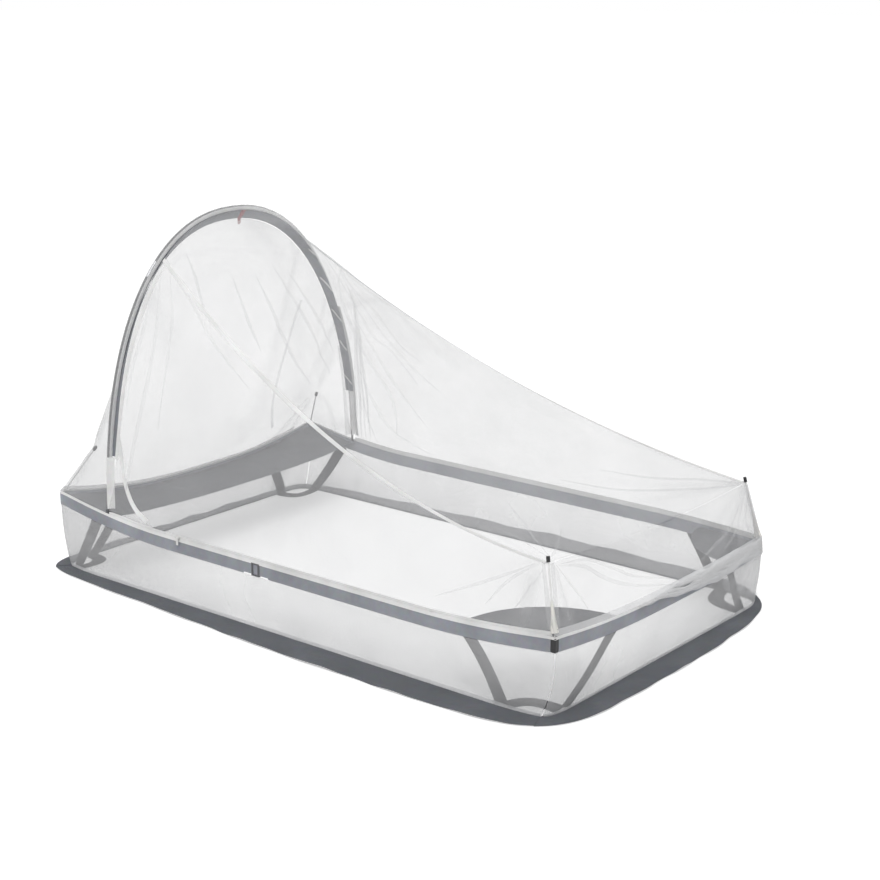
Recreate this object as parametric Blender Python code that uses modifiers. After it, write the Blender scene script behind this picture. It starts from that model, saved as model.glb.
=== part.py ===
"""Self-standing mosquito net tent with an arch, four rods and a floor skirt.

Metres, +Z up. +X points to the foot end, -Y is the near long side and z = 0 is the floor.
A sprung arch stands over the head end, four short rods stand at the corners, and the net
hangs from them to a harness of bands, then down to a skirt that lies on the floor.
"""

import math

import bmesh
import bpy
import numpy as np
from mathutils import Matrix, Vector

# Rim: the rectangle of bands that carries everything
RIM_LENGTH = 2.0
RIM_WIDTH = 1.2
RIM_HEIGHT = 0.2185

# Fits
CLEARANCE = 0.0003
SEAM_GAP = 0.0005
CUT_OVERRUN = 0.002

# Harness: bands, binding and the corners that the rods pull up and out
BAND_HEIGHT = 0.041
BAND_THICKNESS = 0.0025
BINDING_HEIGHT = 0.005
BINDING_THICKNESS = 0.002
CORNER_REACH = 0.5
CORNER_FLAT = 0.018
CORNER_KNOTS = 7
CORNER_PULL = 0.02
CORNER_LIFT = 0.05
CORNERS = {"head_near": (-1, -1), "foot_near": (1, -1), "foot_far": (1, 1), "head_far": (-1, 1)}
CORNER_PULL_SHARES = {
    "head_near": (0.8, 0.4),
    "foot_near": (0.6, 0.6),
    "foot_far": (-1.4, -1.25),
    "head_far": (1.0, 0.75),
}
CORNER_LIFT_SHARES = {"head_near": 1.06, "foot_near": 0.8, "foot_far": -0.14, "head_far": 0.9}
SIDES = {
    "near": ("head_near", "foot_near"),
    "foot": ("foot_near", "foot_far"),
    "far": ("foot_far", "head_far"),
    "head": ("head_far", "head_near"),
}
OUTWARD = {
    "near": Vector((0, -1, 0)),
    "foot": Vector((1, 0, 0)),
    "far": Vector((0, 1, 0)),
    "head": Vector((-1, 0, 0)),
}
BAND_COLUMNS = 14

# Adjuster: a ladder-lock frame that slides on a narrowed neck of the near band
ADJUSTER_X = -0.11
ADJUSTER_LENGTH = 0.032
ADJUSTER_TRAVEL = 0.03
ADJUSTER_BAR = 0.006
ADJUSTER_PLATE = 0.0024
NECK_DROP = 0.004
NECK_TAPER = 0.004

# Corner pockets and rods
POCKET_SIDE = 0.016
POCKET_EDGE = 0.001
BALL_RADIUS = 0.0045
BALL_STAND = 0.001
ROD_RADIUS = 0.0025
ROD_LENGTH = 0.215
CAP_RADIUS = 0.0055
CAP_LENGTH = 0.016
CAP_WALL = 0.003
ROD_LEAN = 0.1
ROD_LEAN_SHARES = {
    "head_near": (1.25, 0.45),
    "foot_near": (0.44, 0.25),
    "foot_far": (0.45, 0.3),
    "head_far": (1.2, 0.9),
}
ROUND_STEPS = 10
BALL_ARC_POINTS = 5

# Arch: a superellipse across the tent, in three pole sections
ARCH_X = -0.785
ARCH_TOP = 1.178
ARCH_POWER = 2.23
POLE_RADIUS = 0.004
POLE_WALL = 0.0014
POLE_JOINT_GAP = 0.0004
SECTION_COUNT = 3
FERRULE_LENGTH = 0.06
FERRULE_GAP = 0.0007
FERRULE_WALL = 0.0005
SPIGOT_LENGTH = 0.015
COLLAR_LENGTH = 0.003
CORD_RADIUS = 0.0009
CHEEK = 0.0015
FOOT_POCKET_LENGTH = 0.014
ARCH_SAMPLES = 1441

# Sleeve, belt and loop on the arch
SLEEVE_START = 0.0056
SLEEVE_THICKNESS = 0.0012
SLEEVE_FOOT_RISE = 0.035
BELT_THICKNESS = 0.0015
BELT_FOOT_RISE = 0.2
BELT_EDGE_INSET = 0.011
BELT_TOP_HANG = 0.03
BELT_HEAD_REACH = 0.011
BELT_FOOT_REACH = 0.026
BELT_FOOT_REACH_LOSS = 0.016
BELT_TWIST_POWER = 1.3
ARCH_KNOTS = 49
TAB_OFFSET = 0.0485
TAB_WIDTH = 0.02
TAB_THICKNESS = 0.0016
LOOP_WIDTH = 0.013
LOOP_LENGTH = 0.018
LOOP_HOLE = 0.0036
LOOP_THICKNESS = 0.002

# Net canopy and its seam tapes
NET_THICKNESS = 0.0008
TAPE_WIDTH = 0.014
TAPE_THICKNESS = 0.0012
TAPE_COLUMNS = 24
TAPE_HALF_SPAN_SHARE = 0.56
TAPE_SAG = 0.15
TAPE_SAG_SHARES = {"near": 1.0, "far": 0.6}
FOOT_SEAM_SIDE = 0.0075
FOOT_SEAM_BLEND = 0.09
ROOF_FOOT_SAG = 0.022
ROOF_COLUMNS = 23
ROOF_ROWS = 13
ROOF_FOLDS = 9
SIDE_NET_COLUMNS = 24
SIDE_NET_ROWS = 12
SIDE_NET_SAG = 0.035
SIDE_FOLDS = 10
SIDE_FOLD_DEPTH = 0.011
FOOT_NET_COLUMNS = 24
FOOT_NET_ROWS = 7
FOOT_NET_SAG = 0.015
FOOT_NET_EDGE_SHARE = 0.125
FOOT_FOLDS = 12
HEAD_NET_COLUMNS = 30
HEAD_NET_ROWS = 13
HEAD_NET_SAG = 0.03
HEAD_NET_MIDDLE = 0.4
HEAD_NET_MIDDLE_ROW = 5 / 12
HEAD_FOLDS = 14
HEAD_CORNER_SHARE = 0.19
CAP_SIDE_SHARE = 0.63
CAP_WRAP_SHARE = 1.35
FOLD_DEPTH = 0.007
PEAK_GAP = 0.006

# Zip along each long side
ZIP_HEIGHT = 0.012
ZIP_THICKNESS = 0.0012
COIL_HEIGHT = 0.003
COIL_DEPTH = 0.002
COIL_TOP_SHARE = 0.6
ZIP_COLUMNS = 13
SLIDER_X = -0.45
SLIDER_LENGTH = 0.014
SLIDER_WALL = 0.0012
LUG_DEPTH = 0.005
LUG_WIDTH = 0.002
LUG_HEIGHT = 0.004
PIN_RADIUS = 0.0008
PULL_LENGTH = 0.024
PULL_EYE_RADIUS = 0.002
PULL_TIP_SHARE = 0.4
PULL_PLAY = 0.0004

# Head strip, foot gussets and corner straps
DECK_DROP = 0.016
DECK_THICKNESS = 0.0012
DECK_SAG = 0.004
DECK_CORNER_CUT = 0.022
DECK_CUT_RUN = 0.045
HEAD_STRIP_EDGE_X = -0.775
HEAD_STRIP_COLUMNS = 14
HEAD_STRIP_ROWS = 7
GUSSET_LENGTH = 0.345
GUSSET_SHARES = {"near": 1.0, "far": 0.68}
GUSSET_POWER = 2.1
GUSSET_COLUMNS = 13
GUSSET_ROWS = 7
STRAP_WIDTH = 0.038
STRAP_THICKNESS = 0.0012
STRAP_LOW_INSET = 0.008
STRAP_OUTER_DEPTH = 0.035
STRAP_INNER_DEPTH = 0.055
STRAP_UNDER_POINTS = 7
STRAP_REACHES = {
    "head_near": ((0.165, 0.06), (0.25, 0.13)),
    "foot_near": ((0.286, 0.15), (0.277, 0.09)),
    "foot_far": ((0.246, 0.129), (0.286, 0.15)),
    "head_far": ((0.165, 0.06), (0.25, 0.13)),
}

# Lower net walls and the skirt on the floor
FLOOR_LINE_HALF_LENGTH = 1.01
FLOOR_LINE_HALF_WIDTH = 0.595
FLOOR_LINE_SHIFT = -0.035
FLOOR_LINE_POWER = 24
WALL_COLUMNS = 26
WALL_ROWS = 5
WALL_DRAPE_POWER = 2.2
WALL_WAVE = 0.003
WALL_WAVES = 5
WALL_END = 0.0028
HEM_HALF_LENGTH = 1.078
HEM_HALF_WIDTH = 0.705
HEM_HEAD_POWER = 16
HEM_FOOT_POWER = 7
HEM_SHIFT = -0.012
HEM_HEAD_LOSS = 0.15
HEM_FOOT_SKEW = 0.07
HEM_STRAIGHT_SHARE = 0.45
SKIRT_THICKNESS = 0.0025
SKIRT_TUCK = 0.003
SKIRT_COLUMNS = 33
SKIRT_ROWS = 4
HEM_WAVE_HEIGHT = 0.009
HEM_WAVE_FLAT_SHARE = 0.35
HEM_WOBBLE = 0.004
HEM_WAVES = 7

PARTS = "mosquito_net_tent"
CUTTERS = "cutters"


def start_scene():
    """Empties the scene and makes the collections for the parts and the cutters."""
    for thing in list(bpy.data.objects):
        bpy.data.objects.remove(thing)
    for name in (PARTS, CUTTERS):
        group = bpy.data.collections.new(name)
        bpy.context.scene.collection.children.link(group)


def finish_material(name, colour, roughness, metallic=0.0):
    """Principled material with one colour, in linear light."""
    material = bpy.data.materials.new(name)
    material.use_nodes = True
    shader = material.node_tree.nodes["Principled BSDF"]
    shader.inputs["Base Color"].default_value = (*colour, 1.0)
    shader.inputs["Roughness"].default_value = roughness
    shader.inputs["Metallic"].default_value = metallic
    return material


def add_object(name, data, colour, group=PARTS):
    """Links a mesh or curve as one named piece with its own material."""
    thing = bpy.data.objects.new(name, data)
    data.materials.append(finish_material(name, *colour))
    bpy.data.collections[group].objects.link(thing)
    return thing


def add_cutter(name, data, matrix):
    """Links a shape that only cuts."""
    thing = bpy.data.objects.new(name, data)
    thing.matrix_world = matrix
    thing.hide_render = True
    thing.display_type = "WIRE"
    bpy.data.collections[CUTTERS].objects.link(thing)
    return thing


def boolean(thing, other, operation):
    """Cuts or joins another object with the exact solver."""
    step = thing.modifiers.new(other.name, "BOOLEAN")
    step.operation = operation
    step.object = other
    step.solver = "EXACT"


def box_mesh(name, size, centre=Vector((0, 0, 0))):
    """Mesh of a box about a centre."""
    shape = bmesh.new()
    bmesh.ops.create_cube(shape, size=1)
    bmesh.ops.scale(shape, vec=size, verts=shape.verts)
    bmesh.ops.translate(shape, vec=centre, verts=shape.verts)
    mesh = bpy.data.meshes.new(name)
    shape.to_mesh(mesh)
    shape.free()
    return mesh


def sheet(name, rows, thickness, colour, offset=0.0, closed=False):
    """Cloth piece: a grid laid over the rows of points, given its thickness.

    Rows run bottom to top and columns counter-clockwise seen from above, so that the
    grid faces outward and an offset of -1 keeps its outer face on the points.
    """
    columns = len(rows[0])
    shape = bmesh.new()
    bmesh.ops.create_grid(shape, x_segments=columns - 1, y_segments=len(rows) - 1, size=1)
    shape.verts.ensure_lookup_table()
    for j, row in enumerate(rows):
        for i, point in enumerate(row):
            shape.verts[j * columns + i].co = point
    if closed:
        bmesh.ops.remove_doubles(shape, verts=shape.verts, dist=CLEARANCE / 10)
    mesh = bpy.data.meshes.new(name)
    shape.to_mesh(mesh)
    shape.free()
    mesh.shade_smooth()
    thing = add_object(name, mesh, colour)
    wall = thing.modifiers.new("thickness", "SOLIDIFY")
    wall.thickness = thickness
    wall.offset = offset
    wall.use_even_offset = True
    return thing


def turned(name, profile, colour, matrix, steps=ROUND_STEPS):
    """Turned piece: a profile of (radius, height) points, top to bottom, spun about Z."""
    mesh = bpy.data.meshes.new(name)
    points = [(radius, 0, height) for radius, height in profile]
    mesh.from_pydata(points, [(i, i + 1) for i in range(len(points) - 1)], [])
    thing = add_object(name, mesh, colour)
    thing.matrix_world = matrix
    spin = thing.modifiers.new("spin", "SCREW")
    spin.steps = steps
    spin.render_steps = steps
    spin.use_merge_vertices = True
    spin.merge_threshold = CLEARANCE / 10
    spin.use_smooth_shade = True
    return thing


def tube(name, points, radius, wall, colour, resolution=2):
    """Tube or rod along points: a bevelled curve, hollow where it has a wall."""
    curve = bpy.data.curves.new(name, "CURVE")
    curve.dimensions = "3D"
    curve.bevel_depth = radius
    curve.bevel_resolution = resolution
    curve.use_fill_caps = wall is None
    line = curve.splines.new("POLY")
    line.points.add(len(points) - 1)
    for knot, point in zip(line.points, points):
        knot.co = (*point, 1)
    thing = add_object(name, curve, colour)
    if wall is not None:
        bore = thing.modifiers.new("bore", "SOLIDIFY")
        bore.thickness = wall
        bore.offset = -1
    return thing


def spaced(count):
    """Even shares from 0 to 1."""
    return [i / (count - 1) for i in range(count)]


def smooth_step(share):
    """Eases from 0 to 1."""
    share = min(max(share, 0.0), 1.0)
    return share * share * (3 - 2 * share)


# Rim: the outer top line of the binding


def rim_corner(corner):
    """Corner of the rim's plain rectangle, at the rim's height."""
    end, side = CORNERS[corner]
    return Vector((end * RIM_LENGTH / 2, side * RIM_WIDTH / 2, RIM_HEIGHT))


def corner_pull(corner):
    """How far the rod and the net pull a corner of the rim, outward and up."""
    end, side = CORNERS[corner]
    out_x, out_y = CORNER_PULL_SHARES[corner]
    lift = CORNER_LIFT * CORNER_LIFT_SHARES[corner]
    return Vector((end * out_x * CORNER_PULL, side * out_y * CORNER_PULL, lift))


KNOT_DISTANCES = [0.0] + [
    CORNER_FLAT + (CORNER_REACH - CORNER_FLAT) * k / (CORNER_KNOTS - 1) for k in range(CORNER_KNOTS)
]


def corner_weight(distance):
    """Share of a corner's pull that is left at a distance along the side, in straight runs."""
    fade = [min(1.0, (CORNER_REACH - d) / (CORNER_REACH - CORNER_FLAT)) ** 2 for d in KNOT_DISTANCES]
    return float(np.interp(distance, KNOT_DISTANCES, fade))


def side_length(side):
    """Length of a side of the rim."""
    first, last = SIDES[side]
    return (rim_corner(last) - rim_corner(first)).length


def rim_point(side, share, inset=0.0, drop=0.0):
    """Point of the rim at a share of a side, moved inward and down."""
    first, last = SIDES[side]
    point = rim_corner(first).lerp(rim_corner(last), share)
    point += corner_pull(first) * corner_weight(share * side_length(side))
    point += corner_pull(last) * corner_weight((1 - share) * side_length(side))
    point -= OUTWARD[side] * inset
    point.z -= drop
    return point


def rim_knots(side):
    """Shares of a side where the rim's line bends."""
    ends = [distance / side_length(side) for distance in KNOT_DISTANCES]
    return sorted(ends + [1 - share for share in ends])


def end_shares(side, distance):
    """Shares of a side that lie a distance short of its two corners."""
    share = distance / side_length(side)
    return share, 1 - share


def side_columns(side, low, high, count):
    """Shares from low to high that take in the rim's bends, about as many as the count."""
    knots = [low] + [share for share in rim_knots(side) if low < share < high] + [high]
    columns = [low]
    for first, last in zip(knots, knots[1:]):
        parts = max(1, round((last - first) / (high - low) * count))
        columns += [first + (last - first) * (k + 1) / parts for k in range(parts)]
    return columns


def rim_share(side, place):
    """Share of a side at a real place along it: along X on the long sides, along Y on the others."""
    axis = 0 if side in ("near", "far") else 1
    knots = rim_knots(side)
    places = [rim_point(side, share)[axis] for share in knots]
    if places[0] > places[-1]:
        knots, places = knots[::-1], places[::-1]
    return float(np.interp(place, places, knots))


BAND_TOP_DROP = BINDING_HEIGHT + CLEARANCE
BAND_BOTTOM_DROP = BAND_TOP_DROP + BAND_HEIGHT
WALL_TOP_DROP = BAND_BOTTOM_DROP + CLEARANCE
GREY = ((0.085, 0.09, 0.1), 0.8)
DARK_GREY = ((0.05, 0.055, 0.062), 0.85)
WHITE = ((0.8, 0.8, 0.79), 0.7)
NET = ((0.75, 0.76, 0.78), 0.8)
BLACK = ((0.012, 0.012, 0.014), 0.4)


# Harness


def neck_shares():
    """Shares of the near band where its neck tapers in and out."""
    half = ADJUSTER_LENGTH / 2 + ADJUSTER_TRAVEL + NECK_TAPER
    outer = half + NECK_TAPER
    return [rim_share("near", ADJUSTER_X + d) for d in (-outer, -half, half, outer)]


def make_band(side):
    """Flat woven band along one side, butted against the corner pockets."""
    start, stop = end_shares(side, POCKET_SIDE + CLEARANCE)
    shares = side_columns(side, start, stop, BAND_COLUMNS)
    drops = {}
    if side == "near":
        neck = neck_shares()
        shares = sorted([share for share in shares if not neck[0] < share < neck[3]] + neck)
        drops = {neck[1]: NECK_DROP, neck[2]: NECK_DROP}
    low, high = [], []
    for share in shares:
        drop = drops.get(share, 0.0)
        low.append(rim_point(side, share, drop=BAND_BOTTOM_DROP - drop))
        high.append(rim_point(side, share, drop=BAND_TOP_DROP + drop))
    sheet(f"band_{side}", [low, high], BAND_THICKNESS, GREY, offset=-1)


def make_binding():
    """White binding tape that goes round the whole rim in one loop."""
    low, high = [], []
    for side in SIDES:
        for share in side_columns(side, 0, 1, BAND_COLUMNS)[:-1]:
            low.append(rim_point(side, share, drop=BINDING_HEIGHT))
            high.append(rim_point(side, share))
    low.append(low[0].copy())
    high.append(high[0].copy())
    sheet("rim_binding", [low, high], BINDING_THICKNESS, WHITE, offset=-1, closed=True)


def make_adjuster():
    """Ladder-lock frame: a back plate, two rails and two front bars round the band's neck."""
    neck = BAND_HEIGHT - 2 * NECK_DROP
    depth = BAND_THICKNESS + 2 * CLEARANCE + 2 * ADJUSTER_PLATE
    share = rim_share("near", ADJUSTER_X)
    drop = (BAND_TOP_DROP + BAND_BOTTOM_DROP) / 2
    place = Matrix.Translation(rim_point("near", share, inset=BAND_THICKNESS / 2, drop=drop))
    frame = box_mesh("band_adjuster", (ADJUSTER_LENGTH, depth, BAND_HEIGHT - 2 * CLEARANCE))
    adjuster = add_object("band_adjuster", frame, BLACK)
    adjuster.matrix_world = place
    slot_size = (
        ADJUSTER_LENGTH + 2 * CUT_OVERRUN,
        BAND_THICKNESS + 2 * CLEARANCE,
        neck + 2 * CLEARANCE,
    )
    boolean(adjuster, add_cutter("adjuster_slot", box_mesh("adjuster_slot", slot_size), place), "DIFFERENCE")
    window_size = (ADJUSTER_LENGTH - 2 * ADJUSTER_BAR, ADJUSTER_PLATE + 2 * CUT_OVERRUN, neck)
    front = Vector((0, -depth / 2, 0))
    window = box_mesh("adjuster_window", window_size, front)
    boolean(adjuster, add_cutter("adjuster_window", window, place), "DIFFERENCE")


# Corner pockets, rods and caps


def pocket_centre(corner):
    """Middle of a corner pocket, whose outer faces stand at the rim's corner."""
    end, side = CORNERS[corner]
    inward = Vector((-end, -side, 0)) * (POCKET_SIDE / 2)
    drop = Vector((0, 0, (BAND_TOP_DROP + BAND_BOTTOM_DROP) / 2))
    return rim_corner(corner) + corner_pull(corner) + inward - drop


def rod_pivot(corner):
    """Centre of the ball at a rod's foot."""
    return pocket_centre(corner) + Vector((0, 0, BAND_HEIGHT / 2 - BALL_STAND))


def rod_direction(corner):
    """Unit vector along a rod, leaning in from the corner."""
    end, side = CORNERS[corner]
    lean_x, lean_y = (ROD_LEAN * share for share in ROD_LEAN_SHARES[corner])
    rise = math.sqrt(ROD_LENGTH**2 - lean_x**2 - lean_y**2)
    return Vector((-end * lean_x, -side * lean_y, rise)) / ROD_LENGTH


def make_corner_pocket(corner):
    """Moulded pocket with a socket for the rod's ball, stepped down inward so that the rod can fold."""
    end, side = CORNERS[corner]
    name = f"corner_pocket_{corner}"
    pocket = add_object(name, box_mesh(name, (POCKET_SIDE, POCKET_SIDE, BAND_HEIGHT)), BLACK)
    place = Matrix.Translation(pocket_centre(corner))
    pocket.matrix_world = place
    edge = pocket.modifiers.new("edges", "BEVEL")
    edge.width = POCKET_EDGE
    edge.segments = 1
    half = BALL_RADIUS + CLEARANCE
    reach = POCKET_SIDE / 2 + half + CUT_OVERRUN
    socket = ("socket", 2 * half, BALL_STAND + half)
    step = ("step", reach, BALL_STAND + ROD_RADIUS + CLEARANCE)
    for label, width, depth in (socket, step):
        tall = depth + CUT_OVERRUN
        inward = width / 2 - half
        centre = Vector((-end * inward, -side * inward, BAND_HEIGHT / 2 - depth + tall / 2))
        cut = box_mesh(f"{name}_{label}", (width, width, tall), centre)
        boolean(pocket, add_cutter(f"{name}_{label}", cut, place), "DIFFERENCE")


def ball_arc(radius, neck_radius):
    """Profile points of a ball from where a neck leaves it, down to its lowest point."""
    start = math.asin(neck_radius / radius)
    turns = [start + (math.pi - start) * s for s in spaced(BALL_ARC_POINTS + 2)]
    arc = [(radius * math.sin(turn), radius * math.cos(turn)) for turn in turns[:-1]]
    return arc + [(0, -radius)]


def make_rod(corner):
    """Rod with a ball moulded on its foot, standing in its corner pocket."""
    turn = rod_direction(corner).to_track_quat("Z", "Y").to_matrix().to_4x4()
    place = Matrix.Translation(rod_pivot(corner)) @ turn
    profile = [(0, ROD_LENGTH), (ROD_RADIUS, ROD_LENGTH), *ball_arc(BALL_RADIUS, ROD_RADIUS)]
    turned(f"corner_rod_{corner}", profile, WHITE, place, steps=8)
    bore = ROD_RADIUS + CLEARANCE
    mouth = ROD_LENGTH + CLEARANCE + CAP_WALL - CAP_LENGTH
    top = mouth + CAP_LENGTH
    profile = [
        (0, top),
        (CAP_RADIUS - POCKET_EDGE, top),
        (CAP_RADIUS, top - POCKET_EDGE),
        (CAP_RADIUS, mouth),
        (bore, mouth),
        (bore, top - CAP_WALL),
        (0, top - CAP_WALL),
    ]
    turned(f"rod_cap_{corner}", profile, BLACK, place)


def net_peak(corner):
    """Place on a rod's axis, just under its cap, where the net is held."""
    return rod_pivot(corner) + rod_direction(corner) * (ROD_LENGTH - CAP_LENGTH)


# Arch


def arch_feet():
    """Y places of the arch's two feet, beside the bands, and the height that they pivot at."""
    reach = BAND_THICKNESS + 2 * CLEARANCE + CHEEK + BALL_RADIUS
    near = rim_point("near", rim_share("near", ARCH_X), inset=reach, drop=BAND_TOP_DROP)
    far = rim_point("far", rim_share("far", ARCH_X), inset=reach, drop=BAND_TOP_DROP)
    return near.y, far.y, min(near.z, far.z)


NEAR_FOOT_Y, FAR_FOOT_Y, ARCH_PIVOT_Z = arch_feet()
ARCH_HALF_WIDTH = (FAR_FOOT_Y - NEAR_FOOT_Y) / 2
ARCH_MIDDLE_Y = (FAR_FOOT_Y + NEAR_FOOT_Y) / 2


def arch_line():
    """Run of the pole's centre line, and its knots: shares of the run, y, z and mitred inward offsets."""
    turn = np.linspace(0, math.pi, ARCH_SAMPLES)
    rise = ARCH_TOP - POLE_RADIUS - ARCH_PIVOT_Z
    across = np.sign(np.cos(turn)) * np.abs(np.cos(turn)) ** (2 / ARCH_POWER)
    y = ARCH_MIDDLE_Y - ARCH_HALF_WIDTH * across
    z = ARCH_PIVOT_Z + rise * np.abs(np.sin(turn)) ** (2 / ARCH_POWER)
    run = np.concatenate([[0], np.cumsum(np.hypot(np.diff(y), np.diff(z)))])
    shares = np.linspace(0, 1, ARCH_KNOTS)
    y = np.interp(shares * run[-1], run, y)
    z = np.interp(shares * run[-1], run, z)
    z[-1] = z[0]
    dy, dz = np.diff(y), np.diff(z)
    size = np.hypot(dy, dz)
    ny, nz = dz / size, -dy / size
    ny, nz = np.append(ny, ny[-1]) + np.append(ny[0], ny), np.append(nz, nz[-1]) + np.append(nz[0], nz)
    mitre = 2 / (ny**2 + nz**2)
    return run[-1], shares, y, z, ny * mitre, nz * mitre


ARCH_RUN, ARCH_SHARES, ARCH_Y, ARCH_Z, ARCH_NY, ARCH_NZ = arch_line()


def arch_point(share, inward=0.0, along=0.0):
    """Point of the arch at a share of its length, moved inward in its plane and along X."""
    y, z, ny, nz = (float(np.interp(share, ARCH_SHARES, a)) for a in (ARCH_Y, ARCH_Z, ARCH_NY, ARCH_NZ))
    return Vector((ARCH_X + along, y + ny * inward, z + nz * inward))


def arch_share_at_height(height):
    """Share of the near leg at a height."""
    half = ARCH_KNOTS // 2
    return float(np.interp(height, ARCH_Z[:half], ARCH_SHARES[:half]))


def arch_columns(low, high):
    """Shares from low to high with the arch's bends between them."""
    return [low] + [float(share) for share in ARCH_SHARES if low < share < high] + [high]


def make_pole():
    """Three hollow sections, the ferrules over their joints and the shock cord inside."""
    foot = (BALL_RADIUS + COLLAR_LENGTH) / ARCH_RUN
    gap = POLE_JOINT_GAP / ARCH_RUN
    cuts = [i / SECTION_COUNT for i in range(1, SECTION_COUNT)]
    starts = [foot + gap] + [cut + gap / 2 for cut in cuts]
    ends = [cut - gap / 2 for cut in cuts] + [1 - foot - gap]
    for name, start, end in zip(("near", "top", "far"), starts, ends):
        points = [arch_point(share) for share in arch_columns(start, end)]
        tube(f"arch_pole_{name}", points, POLE_RADIUS, POLE_WALL, BLACK)
    radius = POLE_RADIUS + FERRULE_GAP + FERRULE_WALL
    half = FERRULE_LENGTH / ARCH_RUN / 2
    for name, cut in zip(("near", "far"), cuts):
        points = [arch_point(share) for share in arch_columns(cut - half, cut + half)]
        tube(f"arch_ferrule_{name}", points, radius, FERRULE_WALL, ((0.5, 0.5, 0.52), 0.35, 1.0), 4)
    end = (BALL_RADIUS + COLLAR_LENGTH + SPIGOT_LENGTH + CLEARANCE) / ARCH_RUN
    points = [arch_point(share) for share in arch_columns(end, 1 - end)]
    tube("arch_shock_cord", points, CORD_RADIUS, None, WHITE, 0)


def make_arch_tip(side):
    """Moulded tip: a ball foot, a collar under the pole and a spigot in its bore."""
    spigot = POLE_RADIUS - POLE_WALL - 2 * CLEARANCE
    collar = BALL_RADIUS + COLLAR_LENGTH
    top = collar + SPIGOT_LENGTH
    arc = ball_arc(BALL_RADIUS, POLE_RADIUS - CLEARANCE)
    profile = [(0, top), (spigot, top), (spigot, collar), (POLE_RADIUS, collar), *arc]
    foot = arch_point(0.0 if side == "near" else 1.0)
    turned(f"arch_tip_{side}", profile, BLACK, Matrix.Translation(foot))


def make_arch_pocket(side):
    """Pocket against the band's inner face: two cheeks and a floor, open toward head and foot."""
    foot = arch_point(0.0 if side == "near" else 1.0)
    half = BALL_RADIUS + CLEARANCE
    width = 2 * (half + CHEEK)
    height = half + CHEEK
    name = f"arch_pocket_{side}"
    pocket = add_object(name, box_mesh(name, (FOOT_POCKET_LENGTH, width, height)), GREY)
    place = Matrix.Translation(foot - Vector((0, 0, height / 2)))
    pocket.matrix_world = place
    size = (FOOT_POCKET_LENGTH + 2 * CUT_OVERRUN, 2 * half, half + CUT_OVERRUN)
    centre = Vector((0, 0, height / 2 + CUT_OVERRUN - size[2] / 2))
    slot = box_mesh(f"{name}_slot", size, centre)
    boolean(pocket, add_cutter(f"{name}_slot", slot, place), "DIFFERENCE")


def belt_rise(share):
    """How far up the belt a share of the arch is: 0 at its two ends and 1 at the top."""
    low = arch_share_at_height(ARCH_PIVOT_Z + BELT_FOOT_RISE)
    place = min(max((share - low) / (1 - 2 * low), 0.0), 1.0)
    return math.sin(math.pi * place) ** BELT_TWIST_POWER


def belt_edges(share):
    """Places of the belt's two edges as (inward, along X): on the foot side, then the head side."""
    rise = belt_rise(share)
    foot = Vector((BELT_EDGE_INSET, BELT_FOOT_REACH - BELT_FOOT_REACH_LOSS * rise))
    head = Vector((BELT_EDGE_INSET + BELT_TOP_HANG * rise, -BELT_HEAD_REACH))
    return foot, head


def belt_inset(share):
    """Inward place of the belt's outer face in the plane of the arch."""
    foot, head = belt_edges(share)
    middle = foot.lerp(head, foot.y / (foot.y - head.y))
    slope = (foot - head).normalized()
    return middle.x - BELT_THICKNESS / 2 / slope.y


def make_arch_sleeve():
    """White mesh strip between the pole and the belt."""
    low = arch_share_at_height(ARCH_PIVOT_Z + SLEEVE_FOOT_RISE)
    shares = arch_columns(low, 1 - low)
    inner = [arch_point(s, belt_inset(s) - SLEEVE_THICKNESS - 2 * CLEARANCE) for s in shares]
    outer = [arch_point(s, SLEEVE_START) for s in shares]
    sheet("arch_sleeve", [inner, outer], SLEEVE_THICKNESS, WHITE)


def make_arch_belt():
    """Grey fabric belt under the sleeve. It lies flat on the legs and hangs toward the head on top."""
    low = arch_share_at_height(ARCH_PIVOT_Z + BELT_FOOT_RISE)
    rows = []
    for k in (0, 0.5, 1):
        row = []
        for share in arch_columns(low, 1 - low):
            foot, head = belt_edges(share)
            row.append(arch_point(share, *foot.lerp(head, k)))
        rows.append(row)
    sheet("arch_belt", rows, BELT_THICKNESS, GREY)


def flat_plate(name, splines, thickness, colour, matrix, rounded=False):
    """Flat plate from closed 2D outlines; a rounded one has half-round edges outside them."""
    curve = bpy.data.curves.new(name, "CURVE")
    curve.dimensions = "2D"
    curve.fill_mode = "BOTH"
    if rounded:
        curve.bevel_depth = thickness / 2
        curve.bevel_resolution = 1
    else:
        curve.extrude = thickness / 2
    for points in splines:
        line = curve.splines.new("POLY")
        line.points.add(len(points) - 1)
        for knot, (x, y) in zip(line.points, points):
            knot.co = (x, y, 0, 1)
        line.use_cyclic_u = True
    thing = add_object(name, curve, colour)
    thing.matrix_world = matrix
    return thing


def ring_points(radius, centre=(0, 0), count=10, start=0.0, sweep=2 * math.pi, ends=False):
    """Points round an arc."""
    steps = count - 1 if ends else count
    turns = [start + sweep * i / steps for i in range(count)]
    return [(centre[0] + radius * math.cos(a), centre[1] + radius * math.sin(a)) for a in turns]


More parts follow.
